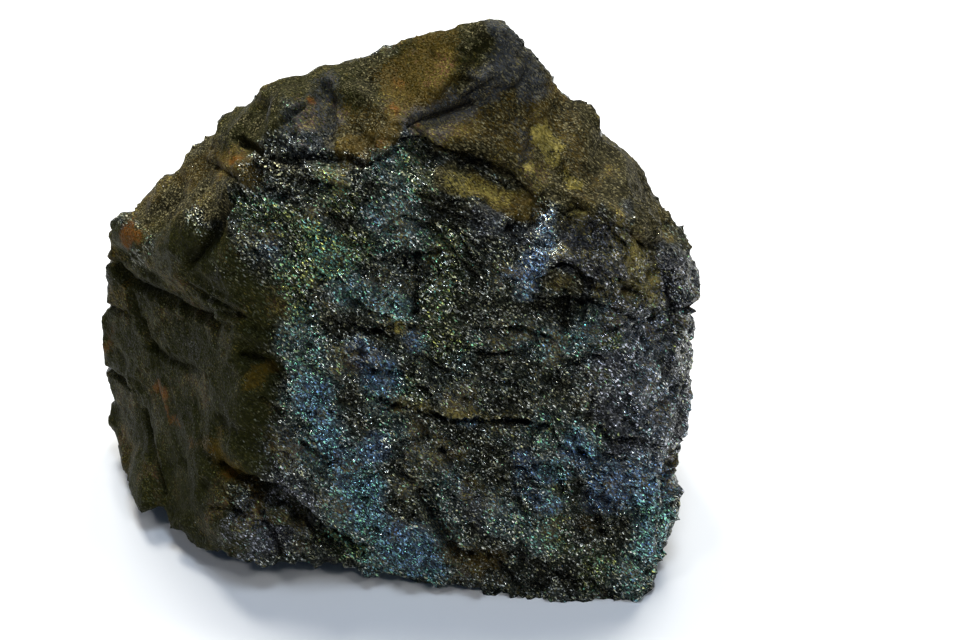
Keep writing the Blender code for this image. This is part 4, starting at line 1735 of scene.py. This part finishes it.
def scatters(ore: bpy.types.Material) -> list[Scatter]:
    """The hackle splinters and the six families of loose grains.

    Args:
        ore: The lump's own material, which the splinters wear.

    Returns:
        All that lies on the surface.
    """
    skins = {Coat.BROWN: -0.35, Coat.OLIVE: -0.40}
    rugged = {Coat.BROWN: -0.85, Coat.OLIVE: -0.95}
    dull = {Coat.BROWN: -0.75, Coat.OLIVE: -0.95}
    splinters = Scatter(
        "hackle_splinters",
        ore,
        rugged,
        everywhere=0.9,
        per_square_mm=0.4,
        sizes=SPLINTERS,
        seed=27,
        turn=(0.12, 0.10, 0.7),
        needs_bake_map=True,
        sunk=0.12,
        rim_calm=0.8,
    )
    families = (
        ("grains_dark", DARK, dull, 1.0, 1.85, COARSE, 28),
        ("grains_bronze", BRONZE, dull, 0.9, 1.9, COARSE, 22),
        ("grains_steel", STEEL, {Coat.SHEEN: 0.2, **skins}, 0.4, 2.8, FINE, 21),
        ("grains_teal", TEAL, {Coat.TEAL: 0.8, **skins}, 0.04, 3.0, FINE, 23),
        ("grains_blue", BLUE, {Coat.BLUE: 0.8, **skins}, 0.02, 3.0, FINE, 24),
        ("grains_gold", GOLD, {Coat.GOLD: 0.8, Coat.PALE: 0.8}, 0.02, 3.0, FINE, 25),
    )
    loose = [Scatter(name, finish.material(), *rest) for name, finish, *rest in families]
    return [splinters, *loose]


# ---- The studio ----


@dataclass(frozen=True)
class SoftLight:
    """A square area light that looks at the lump. Lengths are in metres."""

    name: str
    place: Point
    side: float
    watts: float
    colour: Colour = (1.0, 1.0, 1.0)

    def build(self, target: Vector) -> None:
        """Hangs the light.

        Args:
            target: What it looks at.
        """
        data = bpy.data.lights.new(self.name, "AREA")
        data.size = self.side
        data.energy = self.watts
        data.color = self.colour
        light = link_new(self.name, data)
        light.location = self.place
        light.rotation_euler = (target - Vector(self.place)).to_track_quat("-Z", "Y").to_euler()


@dataclass
class Studio:
    """The pale floor, the soft lights and the camera. Lengths are in metres."""

    view: View = VIEW
    floor_side: float = 6.0
    floor_colour: Colour = (0.86, 0.86, 0.86)
    floor_roughness: float = 0.7
    sky: Colour = (0.40, 0.60, 1.0)
    sky_strength: float = 0.11
    lights: tuple[SoftLight, ...] = (
        SoftLight("left_key", (-0.20, 0.44, 0.76), 0.30, 6.6, (1.0, 0.98, 0.92)),
        SoftLight("right_key", (0.20, 0.44, 0.76), 0.30, 6.6, (1.0, 0.98, 0.92)),
        SoftLight("top", (0.08, -0.18, 0.90), 0.24, 2.8, (0.72, 0.84, 1.0)),
        SoftLight("glint", (0.40, -0.50, 0.65), 0.12, 1.1),
        SoftLight("second_glint", (-0.45, -0.45, 0.75), 0.12, 1.1),
    )

    def build(self) -> None:
        """Sets everything up."""
        self._floor()
        self._sky()
        for light in self.lights:
            light.build(Vector(self.view.target))
        self._camera()
        bpy.context.scene.view_settings.view_transform = "Standard"

    def _floor(self) -> None:
        """Lays a plain pale floor."""
        half = self.floor_side / 2
        mesh = bpy.data.meshes.new("floor")
        corners = [(-half, -half, 0.0), (half, -half, 0.0), (half, half, 0.0), (-half, half, 0.0)]
        mesh.from_pydata(corners, [], [(0, 1, 2, 3)])
        mesh.materials.append(plain_material("floor_paint", self.floor_colour, self.floor_roughness, 0.0))
        floor = link_new("floor", mesh)

    def _sky(self) -> None:
        """Lights the room evenly."""
        world = bpy.data.worlds.new("soft_room")
        world.use_nodes = True
        sky = world.node_tree.nodes["Background"]
        sky.inputs["Color"].default_value = (*self.sky, 1.0)
        sky.inputs["Strength"].default_value = self.sky_strength
        bpy.context.scene.world = world

    def _camera(self) -> None:
        """Sets the camera, which looks along +Y and down."""
        data = bpy.data.cameras.new("camera")
        data.lens = self.view.lens
        data.clip_start = 0.01
        camera = link_new("camera", data)
        back = Vector(Elevation.HIGH_FRONT.value[2])
        camera.location = Vector(self.view.target) + back * self.view.distance
        camera.rotation_euler = (-back).to_track_quat("-Z", "Y").to_euler()
        bpy.context.scene.camera = camera


def triangle_count(piece: bpy.types.Object) -> int:
    """How many triangles a piece has."""
    return sum(len(face.vertices) - 2 for face in piece.data.polygons)


def main() -> None:
    """Builds the lump, what lies on it and the studio, and logs each piece's triangle count."""
    logging.basicConfig(level=logging.INFO, format="%(name)s: %(message)s")
    surface = RockBody().build()
    LOG.info("%s: %d triangles", surface.name, triangle_count(surface))
    for scatter in scatters(surface.data.materials[0]):
        piece = scatter.build(surface)
        LOG.info("%s: %d triangles", piece.name, triangle_count(piece))
    Studio().build()
    LOG.info("studio is set")


if __name__ == "__main__":
    main()
